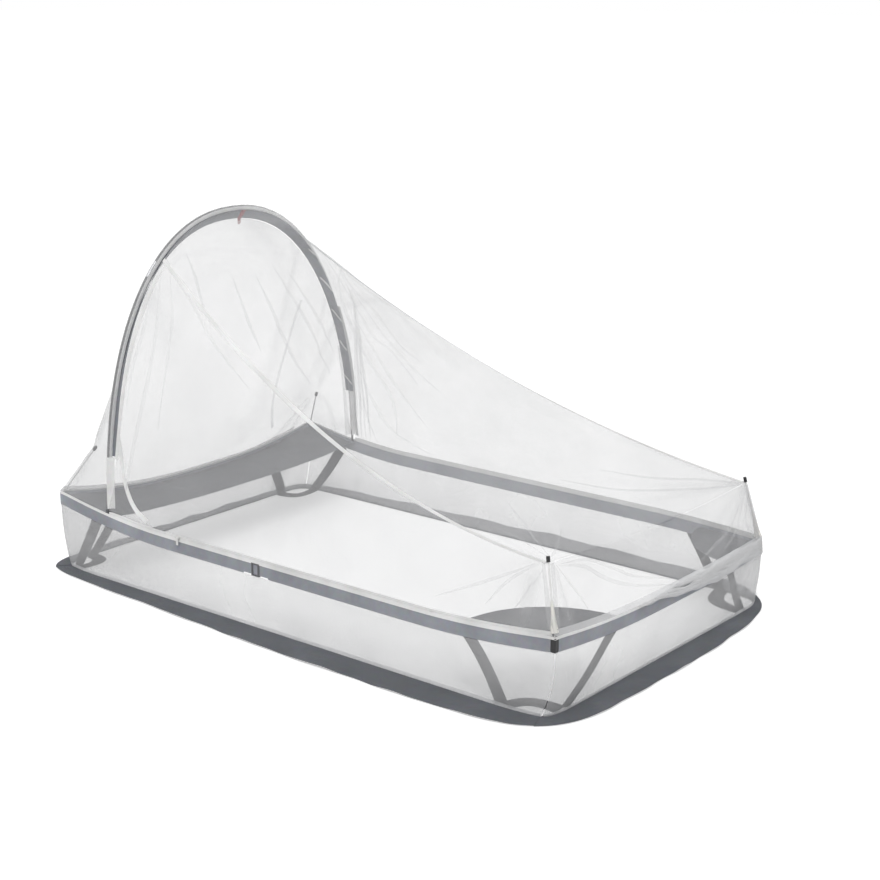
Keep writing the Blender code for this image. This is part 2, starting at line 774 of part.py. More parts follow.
def make_hanging_loop():
    """Red tab sewn over the belt at the top, and the loop that swings below it."""
    middle = 0.5 + TAB_OFFSET / ARCH_RUN
    half = TAB_WIDTH / 2 / ARCH_RUN
    foot, head = belt_edges(middle)
    slope = (head - foot).normalized()
    lift = (BELT_THICKNESS + TAB_THICKNESS) / 2 + CLEARANCE
    normal = Vector((-slope.y, slope.x)) * lift
    rows = []
    for edge in (foot, head):
        rows.append([arch_point(share, *(edge + normal)) for share in (middle - half, middle + half)])
    red = ((0.35, 0.012, 0.018), 0.6)
    sheet("loop_tab", rows, TAB_THICKNESS, red)
    round_edge = LOOP_THICKNESS / 2
    half = LOOP_WIDTH / 2 - round_edge
    low = LOOP_LENGTH - LOOP_WIDTH / 2
    outline = [(half, 0), (-half, 0)]
    outline += ring_points(half, (0, -low), 7, math.pi, math.pi, ends=True)
    hole = ring_points(LOOP_HOLE + round_edge, (0, -low))
    drop = slope * (2 * CLEARANCE + round_edge)
    pivot = arch_point(middle, *(head + normal + drop))
    turn = Matrix(((0, 0, 1), (1, 0, 0), (0, 1, 0))).to_4x4()
    place = Matrix.Translation(pivot) @ turn
    flat_plate("hanging_loop", [outline, hole], LOOP_THICKNESS, red, place, rounded=True)


# Net canopy


def coons(bottom, top, left, right, columns, rows):
    """Patch between four edges, each a function of a share from 0 to 1, as rows of points."""
    grid = []
    for v in rows:
        row = []
        for u in columns:
            across = left(v) * (1 - u) + right(v) * u
            along = bottom(u) * (1 - v) + top(u) * v
            corners = (bottom(0) * (1 - u) + bottom(1) * u) * (1 - v)
            corners += (top(0) * (1 - u) + top(1) * u) * v
            row.append(across + along - corners)
        grid.append(row)
    return grid


def line_between(first, last):
    """Straight edge."""
    return lambda share: first.lerp(last, share)


def bend(grid, columns, rows, push):
    """Moves the points of a patch by a function of their shares."""
    for v, row in zip(rows, grid):
        for u, point in zip(columns, row):
            point += push(u, v)
    return grid


def inside(u, v):
    """Weight that is 1 in the middle of a patch and 0 on its edges."""
    return 16 * u * (1 - u) * v * (1 - v)


def anchor_share():
    """Share of the arch where the near seam tape leaves it."""
    half = ARCH_SAMPLES // 2
    span = -TAPE_HALF_SPAN_SHARE * ARCH_HALF_WIDTH
    return float(np.interp(span, ARCH_Y[:half], ARCH_SHARES[:half]))


ANCHOR = anchor_share()


def arch_seam(share, toward):
    """Edge of a net beside the belt; toward is 1 for the foot side and -1 for the head side."""
    foot, head = belt_edges(share)
    edge = foot if toward > 0 else head
    beside = Vector((edge.x, edge.y + toward * (SEAM_GAP + BELT_THICKNESS / 2)))
    outside = BALL_RADIUS + CLEARANCE * 2 + CHEEK + BAND_THICKNESS / 2
    low = Vector((-outside, toward * FOOT_SEAM_SIDE))
    height = float(np.interp(share, ARCH_SHARES, ARCH_Z)) - ARCH_PIVOT_Z
    across = smooth_step(height / FOOT_SEAM_BLEND)
    along = smooth_step(2 * (height - FOOT_SEAM_BLEND) / (BELT_FOOT_RISE - FOOT_SEAM_BLEND))
    inward = low.x + (beside.x - low.x) * across
    return arch_point(share, inward, low.y + (beside.y - low.y) * along)


def tape_line(side, share):
    """Centre line of a seam tape, from the arch down to the foot rod, sagging as a hung cord does."""
    near = side == "near"
    start = arch_seam(ANCHOR if near else 1 - ANCHOR, 1)
    peak = net_peak("foot_near" if near else "foot_far")
    peak.x -= PEAK_GAP
    point = start.lerp(peak, share)
    point.z -= TAPE_SAG * TAPE_SAG_SHARES[side] * 4 * share * (1 - share)
    return point


def tape_side(side, share):
    """Direction across a seam tape toward the roof: along the arch at first, level at the foot."""
    step = TAPE_WIDTH / ARCH_RUN
    rise = arch_point(ANCHOR + step) - arch_point(ANCHOR - step)
    across = rise.normalized().lerp(Vector((0, 1, 0)), smooth_step(share))
    if side == "far":
        across.y = -across.y
    return across.normalized()


def tape_edge(side, share, toward_roof):
    """Edge of the net beside a seam tape."""
    reach = TAPE_WIDTH / 2 + SEAM_GAP
    return tape_line(side, share) + tape_side(side, share) * (reach * toward_roof)


def make_seam_tape(side):
    """White tape over the seam between the roof and a side panel."""
    shares = spaced(TAPE_COLUMNS)
    rows = []
    for sign in (-1, 1):
        rows.append([tape_line(side, s) + tape_side(side, s) * (sign * TAPE_WIDTH / 2) for s in shares])
    sheet(f"seam_tape_{side}", rows, TAPE_THICKNESS, WHITE)


def roof_foot_edge(share):
    """Roof's edge across the foot end, hanging between the two rods."""
    first = tape_edge("near", 1, 1)
    last = tape_edge("far", 1, 1)
    point = first.lerp(last, share)
    point.z -= ROOF_FOOT_SAG * 4 * share * (1 - share)
    return point


def roof_arch_edge(share):
    """Roof's edge on the arch, between the two seam tapes."""
    first = tape_edge("near", 0, 1)
    last = tape_edge("far", 0, 1)
    low = ANCHOR + (TAPE_WIDTH / 2 + SEAM_GAP) / ARCH_RUN
    point = arch_seam(low + (1 - 2 * low) * share, 1)
    start = first - arch_seam(low, 1)
    end = last - arch_seam(1 - low, 1)
    return point + start * (1 - share) ** 8 + end * share**8


def make_roof():
    """Roof panel that slopes from the arch to the foot, with folds fanning from its pulled edges."""
    columns, rows = spaced(ROOF_COLUMNS), spaced(ROOF_ROWS)
    grid = coons(
        roof_arch_edge,
        roof_foot_edge,
        lambda v: tape_edge("near", v, 1),
        lambda v: tape_edge("far", v, 1),
        columns,
        rows,
    )

    def folds(u, v):
        wave = math.sin(math.pi * (ROOF_FOLDS * u + ROOF_FOLDS / 3 * v))
        return Vector((0, 0, FOLD_DEPTH * inside(u, v) * wave))

    sheet("canopy_roof_net", bend(grid, columns, rows, folds), NET_THICKNESS, NET)


def make_side_net(side):
    """Side panel between the arch, the seam tape, the foot rod and the zip."""
    near = side == "near"
    height = rim_point(side, rim_share(side, ARCH_X)).z + ZIP_HEIGHT
    low = arch_share_at_height(height)
    high = ANCHOR - (TAPE_WIDTH / 2 + SEAM_GAP) / ARCH_RUN
    first = rim_share(side, ARCH_X + FOOT_SEAM_SIDE)
    last = end_shares(side, PEAK_GAP)[1 if near else 0]
    places = side_columns(side, min(first, last), max(first, last), SIDE_NET_COLUMNS)
    columns = sorted((share - first) / (last - first) for share in places)
    rows = spaced(SIDE_NET_ROWS)

    def foot_line(u):
        share = first + (last - first) * u
        return rim_point(side, share, inset=ZIP_THICKNESS / 2, drop=-(ZIP_HEIGHT + 2 * CLEARANCE))

    def leg_line(v):
        share = low + (high - low) * v
        point = arch_seam(share if near else 1 - share, 1)
        start = foot_line(0) - arch_seam(low if near else 1 - low, 1)
        stop = tape_edge(side, 0, -1) - arch_seam(high if near else 1 - high, 1)
        return point + start * (1 - v) ** 8 + stop * v**8

    grid = coons(
        foot_line,
        lambda u: tape_edge(side, u, -1),
        leg_line,
        line_between(foot_line(1), tape_edge(side, 1, -1)),
        columns,
        rows,
    )

    def folds(u, v):
        fan = math.sin(math.pi * SIDE_FOLDS * math.sqrt(u)) * (1 - u) ** 2
        inward = SIDE_NET_SAG * (1 - u) + SIDE_FOLD_DEPTH * fan
        return OUTWARD[side] * (-inside(u, v) * inward)

    grid = bend(grid, columns, rows, folds)
    if not near:
        grid = [row[::-1] for row in grid]
    sheet(f"canopy_{side}_net", grid, NET_THICKNESS, NET)


def make_foot_net():
    """Foot panel between the two foot rods, from the roof down to the rim."""
    lean = Vector((PEAK_GAP, 0, 0))
    low, high = end_shares("foot", PEAK_GAP)
    places = side_columns("foot", low, high, FOOT_NET_COLUMNS)
    columns = [(share - low) / (high - low) for share in places]
    rows = spaced(FOOT_NET_ROWS)

    def top(u):
        first = net_peak("foot_near") + lean
        last = net_peak("foot_far") + lean
        edge = roof_foot_edge(u) + Vector((2 * NET_THICKNESS, 0, -NET_THICKNESS))
        blend = smooth_step(u / FOOT_NET_EDGE_SHARE) * smooth_step((1 - u) / FOOT_NET_EDGE_SHARE)
        return first.lerp(last, u).lerp(edge, blend)

    def bottom(u):
        share = low + (high - low) * u
        return rim_point("foot", share, inset=BINDING_THICKNESS / 2, drop=-2 * CLEARANCE)

    left, right = line_between(bottom(0), top(0)), line_between(bottom(1), top(1))
    grid = coons(bottom, top, left, right, columns, rows)

    def folds(u, v):
        wave = math.sin(math.pi * FOOT_FOLDS * u)
        return Vector((-inside(u, v) * (FOOT_NET_SAG + FOLD_DEPTH * wave), 0, 0))

    sheet("canopy_foot_net", bend(grid, columns, rows, folds), NET_THICKNESS, NET)


def over_cap(corner):
    """Place on the outer edge of a rod's cap that the net is drawn over."""
    end, lateral = CORNERS[corner]
    axis = rod_direction(corner)
    out = Vector((end, lateral * CAP_SIDE_SHARE, 0))
    out = (out - axis * out.dot(axis)).normalized()
    top = rod_pivot(corner) + axis * (ROD_LENGTH + CLEARANCE + CAP_WALL)
    return top + out * (CAP_RADIUS + NET_THICKNESS) * CAP_WRAP_SHARE


def make_head_net():
    """Head panel from the arch down to the rim round the head end, drawn over the two head rods."""
    near_turn, far_turn = HEAD_CORNER_SHARE, 1 - HEAD_CORNER_SHARE
    near_stop = rim_share("near", ARCH_X - FOOT_SEAM_SIDE)
    far_stop = rim_share("far", ARCH_X - FOOT_SEAM_SIDE)
    near_rim = rim_point("near", near_stop).z
    low = arch_share_at_height(near_rim + 2 * CLEARANCE)
    inset, drop = BINDING_THICKNESS / 2, -2 * CLEARANCE

    def bottom(u):
        if u <= near_turn:
            return rim_point("near", near_stop * (1 - u / near_turn), inset, drop)
        if u >= far_turn:
            back = (u - far_turn) / (1 - far_turn)
            return rim_point("far", 1 - (1 - far_stop) * back, inset, drop)
        across = (u - near_turn) / (far_turn - near_turn)
        return rim_point("head", 1 - across, inset, drop)

    def top(u):
        return arch_seam(low + (1 - 2 * low) * u, -1)

    caps = [over_cap("head_near"), over_cap("head_far")]
    turns = [near_turn, far_turn]
    lifts = [cap - bottom(u).lerp(top(u), HEAD_NET_MIDDLE) for cap, u in zip(caps, turns)]

    def middle(u):
        point = bottom(u).lerp(top(u), HEAD_NET_MIDDLE)
        if u <= near_turn:
            return point + lifts[0] * (u / near_turn) ** 2
        if u >= far_turn:
            return point + lifts[1] * ((1 - u) / (1 - far_turn)) ** 2
        across = (u - near_turn) / (far_turn - near_turn)
        point = caps[0].lerp(caps[1], across)
        hang = math.sin(math.pi * across)
        return point + Vector((HEAD_NET_SAG * hang, 0, -HEAD_NET_SAG * hang))

    knots = {0.0, 1.0}
    for share in rim_knots("head"):
        knots.add(near_turn + (far_turn - near_turn) * (1 - share))
    knots.update(near_turn * (1 - s / near_stop) for s in rim_knots("near") if s < near_stop)
    far_run = 1 - far_stop
    knots.update(1 - near_turn + near_turn * (1 - s) / far_run for s in rim_knots("far") if s > far_stop)
    knots = sorted(knots)
    columns = [0.0]
    for first, last in zip(knots, knots[1:]):
        parts = max(1, round((last - first) * HEAD_NET_COLUMNS))
        columns += [first + (last - first) * (k + 1) / parts for k in range(parts)]
    grid = []
    for v in spaced(HEAD_NET_ROWS):
        row = []
        for u in columns:
            away = min(abs(u - turn) for turn in turns) / near_turn
            spread = smooth_step(away) * smooth_step(min(u, 1 - u) / near_turn)
            if v < HEAD_NET_MIDDLE_ROW:
                part = v / HEAD_NET_MIDDLE_ROW
                point = bottom(u).lerp(middle(u), part)
            else:
                part = (v - HEAD_NET_MIDDLE_ROW) / (1 - HEAD_NET_MIDDLE_ROW)
                point = middle(u).lerp(top(u), part)
            hang = 4 * part * (1 - part)
            wave = math.sin(math.pi * HEAD_FOLDS * u) * FOLD_DEPTH
            inward = Vector((1, 1 - 2 * u, 0)).normalized()
            row.append(point + inward * hang * (HEAD_NET_SAG / 2 * spread + wave * spread))
        grid.append(row)
    sheet("canopy_head_net", grid, NET_THICKNESS, NET)


# Zips


def loft(name, sections, colour):
    """Solid through closed sections that have the same number of points, with flat ends."""
    shape = bmesh.new()
    rings = [[shape.verts.new(point) for point in section] for section in sections]
    count = len(rings[0])
    for first, last in zip(rings, rings[1:]):
        for i in range(count):
            j = (i + 1) % count
            shape.faces.new((first[i], first[j], last[j], last[i]))
    shape.faces.new(rings[0])
    shape.faces.new(reversed(rings[-1]))
    bmesh.ops.recalc_face_normals(shape, faces=shape.faces)
    mesh = bpy.data.meshes.new(name)
    shape.to_mesh(mesh)
    shape.free()
    return add_object(name, mesh, colour)


COIL_LOW = (ZIP_HEIGHT - COIL_HEIGHT) / 2


def zip_section(side, share):
    """Section of a zip tape with its coil, standing on the rim at a share of the side."""
    slope = COIL_HEIGHT * (1 - COIL_TOP_SHARE) / 2
    outline = [
        (0, 0),
        (ZIP_THICKNESS, 0),
        (ZIP_THICKNESS, COIL_LOW),
        (ZIP_THICKNESS + COIL_DEPTH, COIL_LOW + slope),
        (ZIP_THICKNESS + COIL_DEPTH, COIL_LOW + COIL_HEIGHT - slope),
        (ZIP_THICKNESS, COIL_LOW + COIL_HEIGHT),
        (ZIP_THICKNESS, ZIP_HEIGHT),
        (0, ZIP_HEIGHT),
    ]
    base = rim_point(side, share, inset=ZIP_THICKNESS, drop=-CLEARANCE)
    up = Vector((0, 0, 1))
    return [base + OUTWARD[side] * out + up * rise for out, rise in outline]


def make_zip(side):
    """Zip tape and coil from the arch to the foot corner, along the foot of the side panel."""
    first = rim_share(side, ARCH_X + FOOT_SEAM_SIDE)
    last = end_shares(side, POCKET_SIDE)[1 if side == "near" else 0]
    shares = side_columns(side, min(first, last), max(first, last), ZIP_COLUMNS)
    loft(f"zip_tape_{side}", [zip_section(side, share) for share in shares], WHITE)


def slider_origin(side):
    """Outer face of the zip tape, level with the coil's middle, where the slider sits."""
    share = rim_share(side, SLIDER_X)
    return rim_point(side, share, drop=-(CLEARANCE + ZIP_HEIGHT / 2))


def make_slider(side):
    """Slider that rides over the coil, with two lugs and a pin, and the pull that swings on the pin."""
    turn = Matrix.Rotation(0 if side == "near" else math.pi, 4, "Z")
    place = Matrix.Translation(slider_origin(side)) @ turn
    inner = CLEARANCE
    depth = COIL_DEPTH + SLIDER_WALL
    height = COIL_HEIGHT + 2 * (CLEARANCE + SLIDER_WALL)
    middle = Vector((0, -(inner + depth / 2), 0))
    name = f"zip_slider_{side}"
    slider = add_object(name, box_mesh(name, (SLIDER_LENGTH, depth, height), middle), BLACK)
    slider.matrix_world = place
    front = inner + depth
    pin_y = -(front + LUG_DEPTH / 2)
    for sign in (-1, 1):
        centre = Vector((sign * (SLIDER_LENGTH - LUG_WIDTH) / 2, pin_y + CUT_OVERRUN / 2, 0))
        lug = box_mesh(f"{name}_lug", (LUG_WIDTH, LUG_DEPTH + CUT_OVERRUN, LUG_HEIGHT), centre)
        label = "left" if sign < 0 else "right"
        boolean(slider, add_cutter(f"{name}_lug_{label}", lug, place), "UNION")
    pin = bmesh.new()
    bmesh.ops.create_cone(
        pin,
        cap_ends=True,
        segments=ROUND_STEPS,
        radius1=PIN_RADIUS,
        radius2=PIN_RADIUS,
        depth=SLIDER_LENGTH - LUG_WIDTH,
        matrix=Matrix.Translation((0, pin_y, 0)) @ Matrix.Rotation(math.pi / 2, 4, "Y"),
    )
    mesh = bpy.data.meshes.new(f"{name}_pin")
    pin.to_mesh(mesh)
    pin.free()
    boolean(slider, add_cutter(f"{name}_pin", mesh, place), "UNION")
    groove_size = (SLIDER_LENGTH + 2 * CUT_OVERRUN, COIL_DEPTH + CLEARANCE, COIL_HEIGHT + 2 * CLEARANCE)
    groove = box_mesh(f"{name}_groove", groove_size, Vector((0, -(COIL_DEPTH + CLEARANCE) / 2, 0)))
    boolean(slider, add_cutter(f"{name}_groove", groove, place), "DIFFERENCE")
    hole_radius = PIN_RADIUS + PULL_PLAY
    tip = PULL_EYE_RADIUS * PULL_TIP_SHARE
    eye = ring_points(PULL_EYE_RADIUS, (0, 0), 9, 0.0, math.pi, ends=True)
    outline = eye + [(-tip, -PULL_LENGTH), (tip, -PULL_LENGTH)]
    hole = ring_points(hole_radius)
    width = SLIDER_LENGTH - 2 * LUG_WIDTH - 4 * CLEARANCE
    stand = Matrix(((0, 0, 1), (1, 0, 0), (0, 1, 0))).to_4x4()
    pull_place = place @ Matrix.Translation((0, pin_y, 0)) @ stand
    flat_plate(f"zip_pull_{side}", [outline, hole], width, BLACK, pull_place)


# Head strip, gussets and straps


def deck_height(x, y):
    """Height of the flat pieces inside the rim: they follow the lifted corners and sag a little."""
    height = RIM_HEIGHT - DECK_DROP
    for corner in CORNERS:
        place = rim_corner(corner)
        near = corner_weight(abs(x - place.x)) * corner_weight(abs(y - place.y))
        height += CORNER_LIFT * CORNER_LIFT_SHARES[corner] * near
    return height


def inner_face(side, place):
    """Where a band's inner face stands at a real place along it: Y on the long sides, X on the others."""
    point = rim_point(side, rim_share(side, place), inset=BAND_THICKNESS + SEAM_GAP)
    return point.y if side in ("near", "far") else point.x


def make_head_strip():
    """Wide grey strip across the head end, sewn to the bands on three sides."""
    middle = spaced(HEAD_STRIP_COLUMNS)
    cut_share = DECK_CUT_RUN / RIM_WIDTH
    columns = [0.0, cut_share / 2] + [cut_share + (1 - 2 * cut_share) * s for s in middle]
    columns += [1 - cut_share / 2, 1.0]
    rows = []
    for k in spaced(HEAD_STRIP_ROWS):
        row = []
        for share in columns:
            edge = inner_face("head", RIM_WIDTH * (share - 0.5))
            cut = DECK_CORNER_CUT * max(0.0, 1 - min(share, 1 - share) / cut_share)
            free = HEAD_STRIP_EDGE_X
            if min(share, 1 - share) < cut_share:
                free = ARCH_X - FOOT_POCKET_LENGTH / 2 - SEAM_GAP
            x = edge + cut + (free - edge - cut) * k
            near, far = inner_face("near", x), inner_face("far", x)
            y = near + (far - near) * share
            sag = DECK_SAG * math.sin(math.pi * share) * k
            row.append(Vector((x, y, deck_height(x, y) - sag)))
        rows.append(row)
    sheet("head_strip", rows, DECK_THICKNESS, GREY)


def make_gusset(corner):
    """Grey corner piece with a rounded inner edge, sewn to the two bands at a foot corner."""
    lateral = CORNERS[corner][1]
    side = corner.split("_")[1]
    length = GUSSET_LENGTH * GUSSET_SHARES[side]
    tip = rim_corner(corner) + corner_pull(corner)
    start = DECK_CORNER_CUT / length
    rows = []
    for k in spaced(GUSSET_ROWS):
        reach = (start + (1 - start) * k) * length
        row = []
        for share in spaced(GUSSET_COLUMNS):
            turn = share * math.pi / 2
            along = math.cos(turn) ** (2 / GUSSET_POWER) if share < 1 else 0.0
            across = math.sin(turn) ** (2 / GUSSET_POWER)
            x, y = tip.x, tip.y
            for _ in range(3):
                x = inner_face("foot", y) - reach * along
                y = inner_face(side, x) - lateral * reach * across
            row.append(Vector((x, y, deck_height(x, y))))
        rows.append(row)
    sheet(f"foot_gusset_{side}", rows, DECK_THICKNESS, GREY)


def rounded_outline(side, share, half_length, half_width, first_power, last_power):
    """Point of a rounded outline in plan, at a share of one side between its diagonal corners."""
    spot = 2 * share - 1
    power = first_power + (last_power - first_power) * share
    corner = 0.5 ** (1 / (first_power if spot < 0 else last_power))
    spot *= 1 - (1 - corner) * abs(spot) ** power
    edge = (1 - abs(spot) ** power) ** (1 / power)
    across = Vector((OUTWARD[side].x * half_length, OUTWARD[side].y * half_width, 0))
    along = Vector((-OUTWARD[side].y * half_length, OUTWARD[side].x * half_width, 0))
    return across * edge + along * spot


def floor_line(side, share, inset=0.0):
    """Line on the floor where a lower wall meets the skirt."""
    length, width = FLOOR_LINE_HALF_LENGTH - inset, FLOOR_LINE_HALF_WIDTH - inset
    point = rounded_outline(side, share, length, width, FLOOR_LINE_POWER, FLOOR_LINE_POWER)
    point.x += FLOOR_LINE_SHIFT
    return point


def wall_point(side, share, fall, inset=0.0):
    """Point of a lower wall at a share of its side and a share of its fall from band to floor."""
    top = rim_point(side, share, inset=BAND_THICKNESS / 2, drop=WALL_TOP_DROP)
    foot = floor_line(side, share)
    foot.z = SKIRT_THICKNESS + CLEARANCE + NET_THICKNESS / 2
    wave = WALL_WAVE * math.sin(math.pi * fall) * math.sin(2 * math.pi * WALL_WAVES * share)
    point = top.lerp(foot, fall**WALL_DRAPE_POWER)
    point.z = top.z + (foot.z - top.z) * fall
    return point - OUTWARD[side] * (inset + wave)


def make_wall(side):
    """Net wall from the band to the floor, with shallow waves."""
    low, high = end_shares(side, WALL_END)
    shares = side_columns(side, low, high, WALL_COLUMNS)
    rows = [[wall_point(side, s, 1 - v) for s in shares] for v in spaced(WALL_ROWS)]
    sheet(f"wall_net_{side}", rows, NET_THICKNESS, NET)


def strap_leg(side, corner, top, foot):
    """Outer and inner edges of a strap down the inside of a wall, from the band to the floor."""
    first = SIDES[side][0] == corner
    length = side_length(side)
    fall = RIM_HEIGHT - WALL_TOP_DROP
    half = STRAP_WIDTH / 2 * math.hypot(top - foot, fall) / fall
    seat = (BAND_THICKNESS + STRAP_THICKNESS) / 2 + SEAM_GAP
    edges = []
    for reach in (-half, half):
        edge = []
        for s in spaced(WALL_ROWS):
            distance = top + (foot - top) * s + reach
            share = distance / length if first else 1 - distance / length
            inset = seat + (STRAP_LOW_INSET - seat) * math.sqrt(s)
            point = wall_point(side, share, s, inset)
            point.z = max(point.z - (SKIRT_THICKNESS + NET_THICKNESS) * s, STRAP_THICKNESS / 2 + CLEARANCE)
            edge.append(point)
        edges.append(edge)
    return edges


def make_strap(corner):
    """Elastic strap from one band, under the corner, to the next band."""
    end, lateral = CORNERS[corner]
    sides = [side for side, ends in SIDES.items() if corner in ends]
    legs = [strap_leg(side, corner, *STRAP_REACHES[corner][k]) for k, side in enumerate(sides)]
    bow = Vector((-end, -lateral, 0)).normalized()
    edges = []
    for k, depth in enumerate((STRAP_OUTER_DEPTH, STRAP_INNER_DEPTH)):
        down, up = legs[0][k], legs[1][k][::-1]
        under = []
        for s in spaced(STRAP_UNDER_POINTS)[1:-1]:
            under.append(down[-1].lerp(up[0], s) + bow * depth * math.sin(math.pi * s))
        edges.append(down + under + up)
    sheet(f"corner_strap_{corner}", edges, STRAP_THICKNESS, GREY)


def hem_point(side, share):
    """Point of the skirt's outer hem: squarer and narrower toward the head, skewed at the foot."""
    powers = [HEM_HEAD_POWER if CORNERS[corner][0] < 0 else HEM_FOOT_POWER for corner in SIDES[side]]
    point = rounded_outline(side, share, HEM_HALF_LENGTH, HEM_HALF_WIDTH, *powers)
    narrow = min(max(0.5 - point.x / (2 * HEM_HALF_LENGTH) - HEM_STRAIGHT_SHARE, 0.0), 1.0)
    point.y *= 1 - HEM_HEAD_LOSS * narrow
    foot, far = max(point.x / HEM_HALF_LENGTH, 0.0), max(point.y / HEM_HALF_WIDTH, 0.0)
    point.x -= HEM_FOOT_SKEW * foot * far**2
    point.x += HEM_SHIFT
    return point


def make_skirt(side):
    """Skirt strip that lies on the floor, with waves along its hem."""
    gap = SEAM_GAP / side_length(side)
    shares = [gap + (1 - 2 * gap) * s for s in spaced(SKIRT_COLUMNS)]
    rows = []
    for k in spaced(SKIRT_ROWS):
        row = []
        for share in shares:
            inner = floor_line(side, share, SKIRT_TUCK)
            window = math.sin(math.pi * share)
            swing = math.sin(2 * math.pi * HEM_WAVES * share)
            outer = hem_point(side, share) + OUTWARD[side] * (HEM_WOBBLE * swing * window)
            point = outer.lerp(inner, k)
            wave = max(0.0, swing - HEM_WAVE_FLAT_SHARE) * window * (1 - k)
            point.z = SKIRT_THICKNESS / 2 + HEM_WAVE_HEIGHT * wave
            row.append(point)
        rows.append(row)
    sheet(f"skirt_{side}", rows, SKIRT_THICKNESS, DARK_GREY)


def centre_part():
    """Moves every piece so that the middle of the skirt's outline stands on the origin."""
    for name in (PARTS, CUTTERS):
        for thing in bpy.data.collections[name].objects:
            thing.location.x -= HEM_SHIFT


start_scene()
for name in SIDES:
    make_band(name)
    make_wall(name)
    make_skirt(name)
make_binding()
make_adjuster()
for name in CORNERS:
    make_corner_pocket(name)
    make_rod(name)
    make_strap(name)
make_pole()
make_arch_sleeve()
make_arch_belt()
make_hanging_loop()
make_roof()
make_foot_net()
make_head_net()
make_head_strip()
for name in ("near", "far"):
    make_arch_tip(name)
    make_arch_pocket(name)
    make_seam_tape(name)
    make_side_net(name)
    make_zip(name)
    make_slider(name)
    make_gusset(f"foot_{name}")
centre_part()
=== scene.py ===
import math
import random

import bmesh
import bpy
import numpy as np
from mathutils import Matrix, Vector
from mathutils.bvhtree import BVHTree
from mathutils.kdtree import KDTree


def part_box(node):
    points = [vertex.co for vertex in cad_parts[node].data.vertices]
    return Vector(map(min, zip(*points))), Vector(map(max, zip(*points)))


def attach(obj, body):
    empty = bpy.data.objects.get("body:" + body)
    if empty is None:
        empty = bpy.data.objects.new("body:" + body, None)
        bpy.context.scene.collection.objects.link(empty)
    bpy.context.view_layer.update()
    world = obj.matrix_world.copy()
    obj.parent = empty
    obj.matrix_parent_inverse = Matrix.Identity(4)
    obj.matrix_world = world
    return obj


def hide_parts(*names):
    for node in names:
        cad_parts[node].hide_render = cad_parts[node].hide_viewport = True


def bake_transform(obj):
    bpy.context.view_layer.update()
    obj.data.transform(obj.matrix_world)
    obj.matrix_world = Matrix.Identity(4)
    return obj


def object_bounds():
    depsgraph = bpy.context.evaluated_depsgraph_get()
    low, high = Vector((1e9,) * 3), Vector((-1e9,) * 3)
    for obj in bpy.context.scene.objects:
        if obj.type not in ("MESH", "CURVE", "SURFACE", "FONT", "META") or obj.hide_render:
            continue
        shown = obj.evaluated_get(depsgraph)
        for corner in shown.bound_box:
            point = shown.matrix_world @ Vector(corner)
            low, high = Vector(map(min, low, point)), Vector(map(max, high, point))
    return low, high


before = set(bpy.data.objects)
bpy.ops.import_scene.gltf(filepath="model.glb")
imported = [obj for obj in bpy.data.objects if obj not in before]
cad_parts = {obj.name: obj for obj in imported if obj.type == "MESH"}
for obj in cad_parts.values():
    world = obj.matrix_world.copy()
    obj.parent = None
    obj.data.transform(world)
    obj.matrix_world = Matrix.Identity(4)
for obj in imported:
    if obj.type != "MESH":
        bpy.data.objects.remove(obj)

cad_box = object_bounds()

# Studio. A camera off the foot end's near corner, a little above the arch, with a long lens.
# The floor is plain and pale: it shows white to the camera and in reflections, and keeps the
# tent's shadow. One broad sun and an even sky light the tent.
CAMERA_AZIMUTH = 39.027
CAMERA_ELEVATION = 15.292
CAMERA_DISTANCE = 6.328
CAMERA_TARGET = Vector((-0.357, 0.609, 0.3))
CAMERA_LENS = 71.31
CAMERA_SENSOR = 36
FLOOR_HALF = 60.0
FLOOR_COLOUR = (0.78, 0.78, 0.78, 1)
FLOOR_DEPTH = -0.0008
FLOOR_GLOW = 0.42
SKY_WHITE = (1, 1, 1, 1)
SKY_STRENGTH = 0.62
SKY_SEEN = 1.0
SUN_STRENGTH = 1.35
SUN_ANGLE = 35.0
SUN_AZIMUTH = 32.0
SUN_ELEVATION = 58.0
LIGHT_BOUNCES = 48


def direction(azimuth, elevation):
    """Unit vector from the tent toward a compass direction and height, in degrees."""
    turn, rise = math.radians(azimuth), math.radians(elevation)
    flat = math.cos(rise)
    return Vector((math.sin(turn) * flat, -math.cos(turn) * flat, math.sin(rise)))


def add_object(name, data):
    """New object in the scene."""
    thing = bpy.data.objects.new(name, data)
    bpy.context.scene.collection.objects.link(thing)
    return thing


def aim(thing, way):
    """Turns a camera or a sun to look along a vector."""
    thing.rotation_mode = "QUATERNION"
    thing.rotation_quaternion = way.to_track_quat("-Z", "Y")


def calc(tree, operation, *values):
    """Math node on sockets and numbers; the socket of its result."""
    node = tree.nodes.new("ShaderNodeMath")
    node.operation = operation
    for socket, value in zip(node.inputs, values):
        if isinstance(value, (int, float)):
            socket.default_value = value
        else:
            tree.links.new(value, socket)
    return node.outputs[0]


def fill(node, **values):
    """Sets a node's sockets by name; a space in a name is written as an underscore."""
    for name, value in values.items():
        node.inputs[name.replace("_", " ")].default_value = value


def ramp(tree, value, low, high, first=0.0, last=1.0):
    """Value mapped from a range to another range; the socket."""
    node = tree.nodes.new("ShaderNodeMapRange")
    fill(node, From_Min=low, From_Max=high, To_Min=first, To_Max=last)
    tree.links.new(value, node.inputs["Value"])
    return node.outputs["Result"]


def seen_plainly(tree):
    """Socket that is 1 for the camera and for reflections, and 0 for light that bounces."""
    path = tree.nodes.new("ShaderNodeLightPath").outputs
    straight = calc(tree, "MAXIMUM", path["Is Camera Ray"], path["Is Glossy Ray"])
    return calc(tree, "MAXIMUM", straight, path["Is Transmission Ray"])


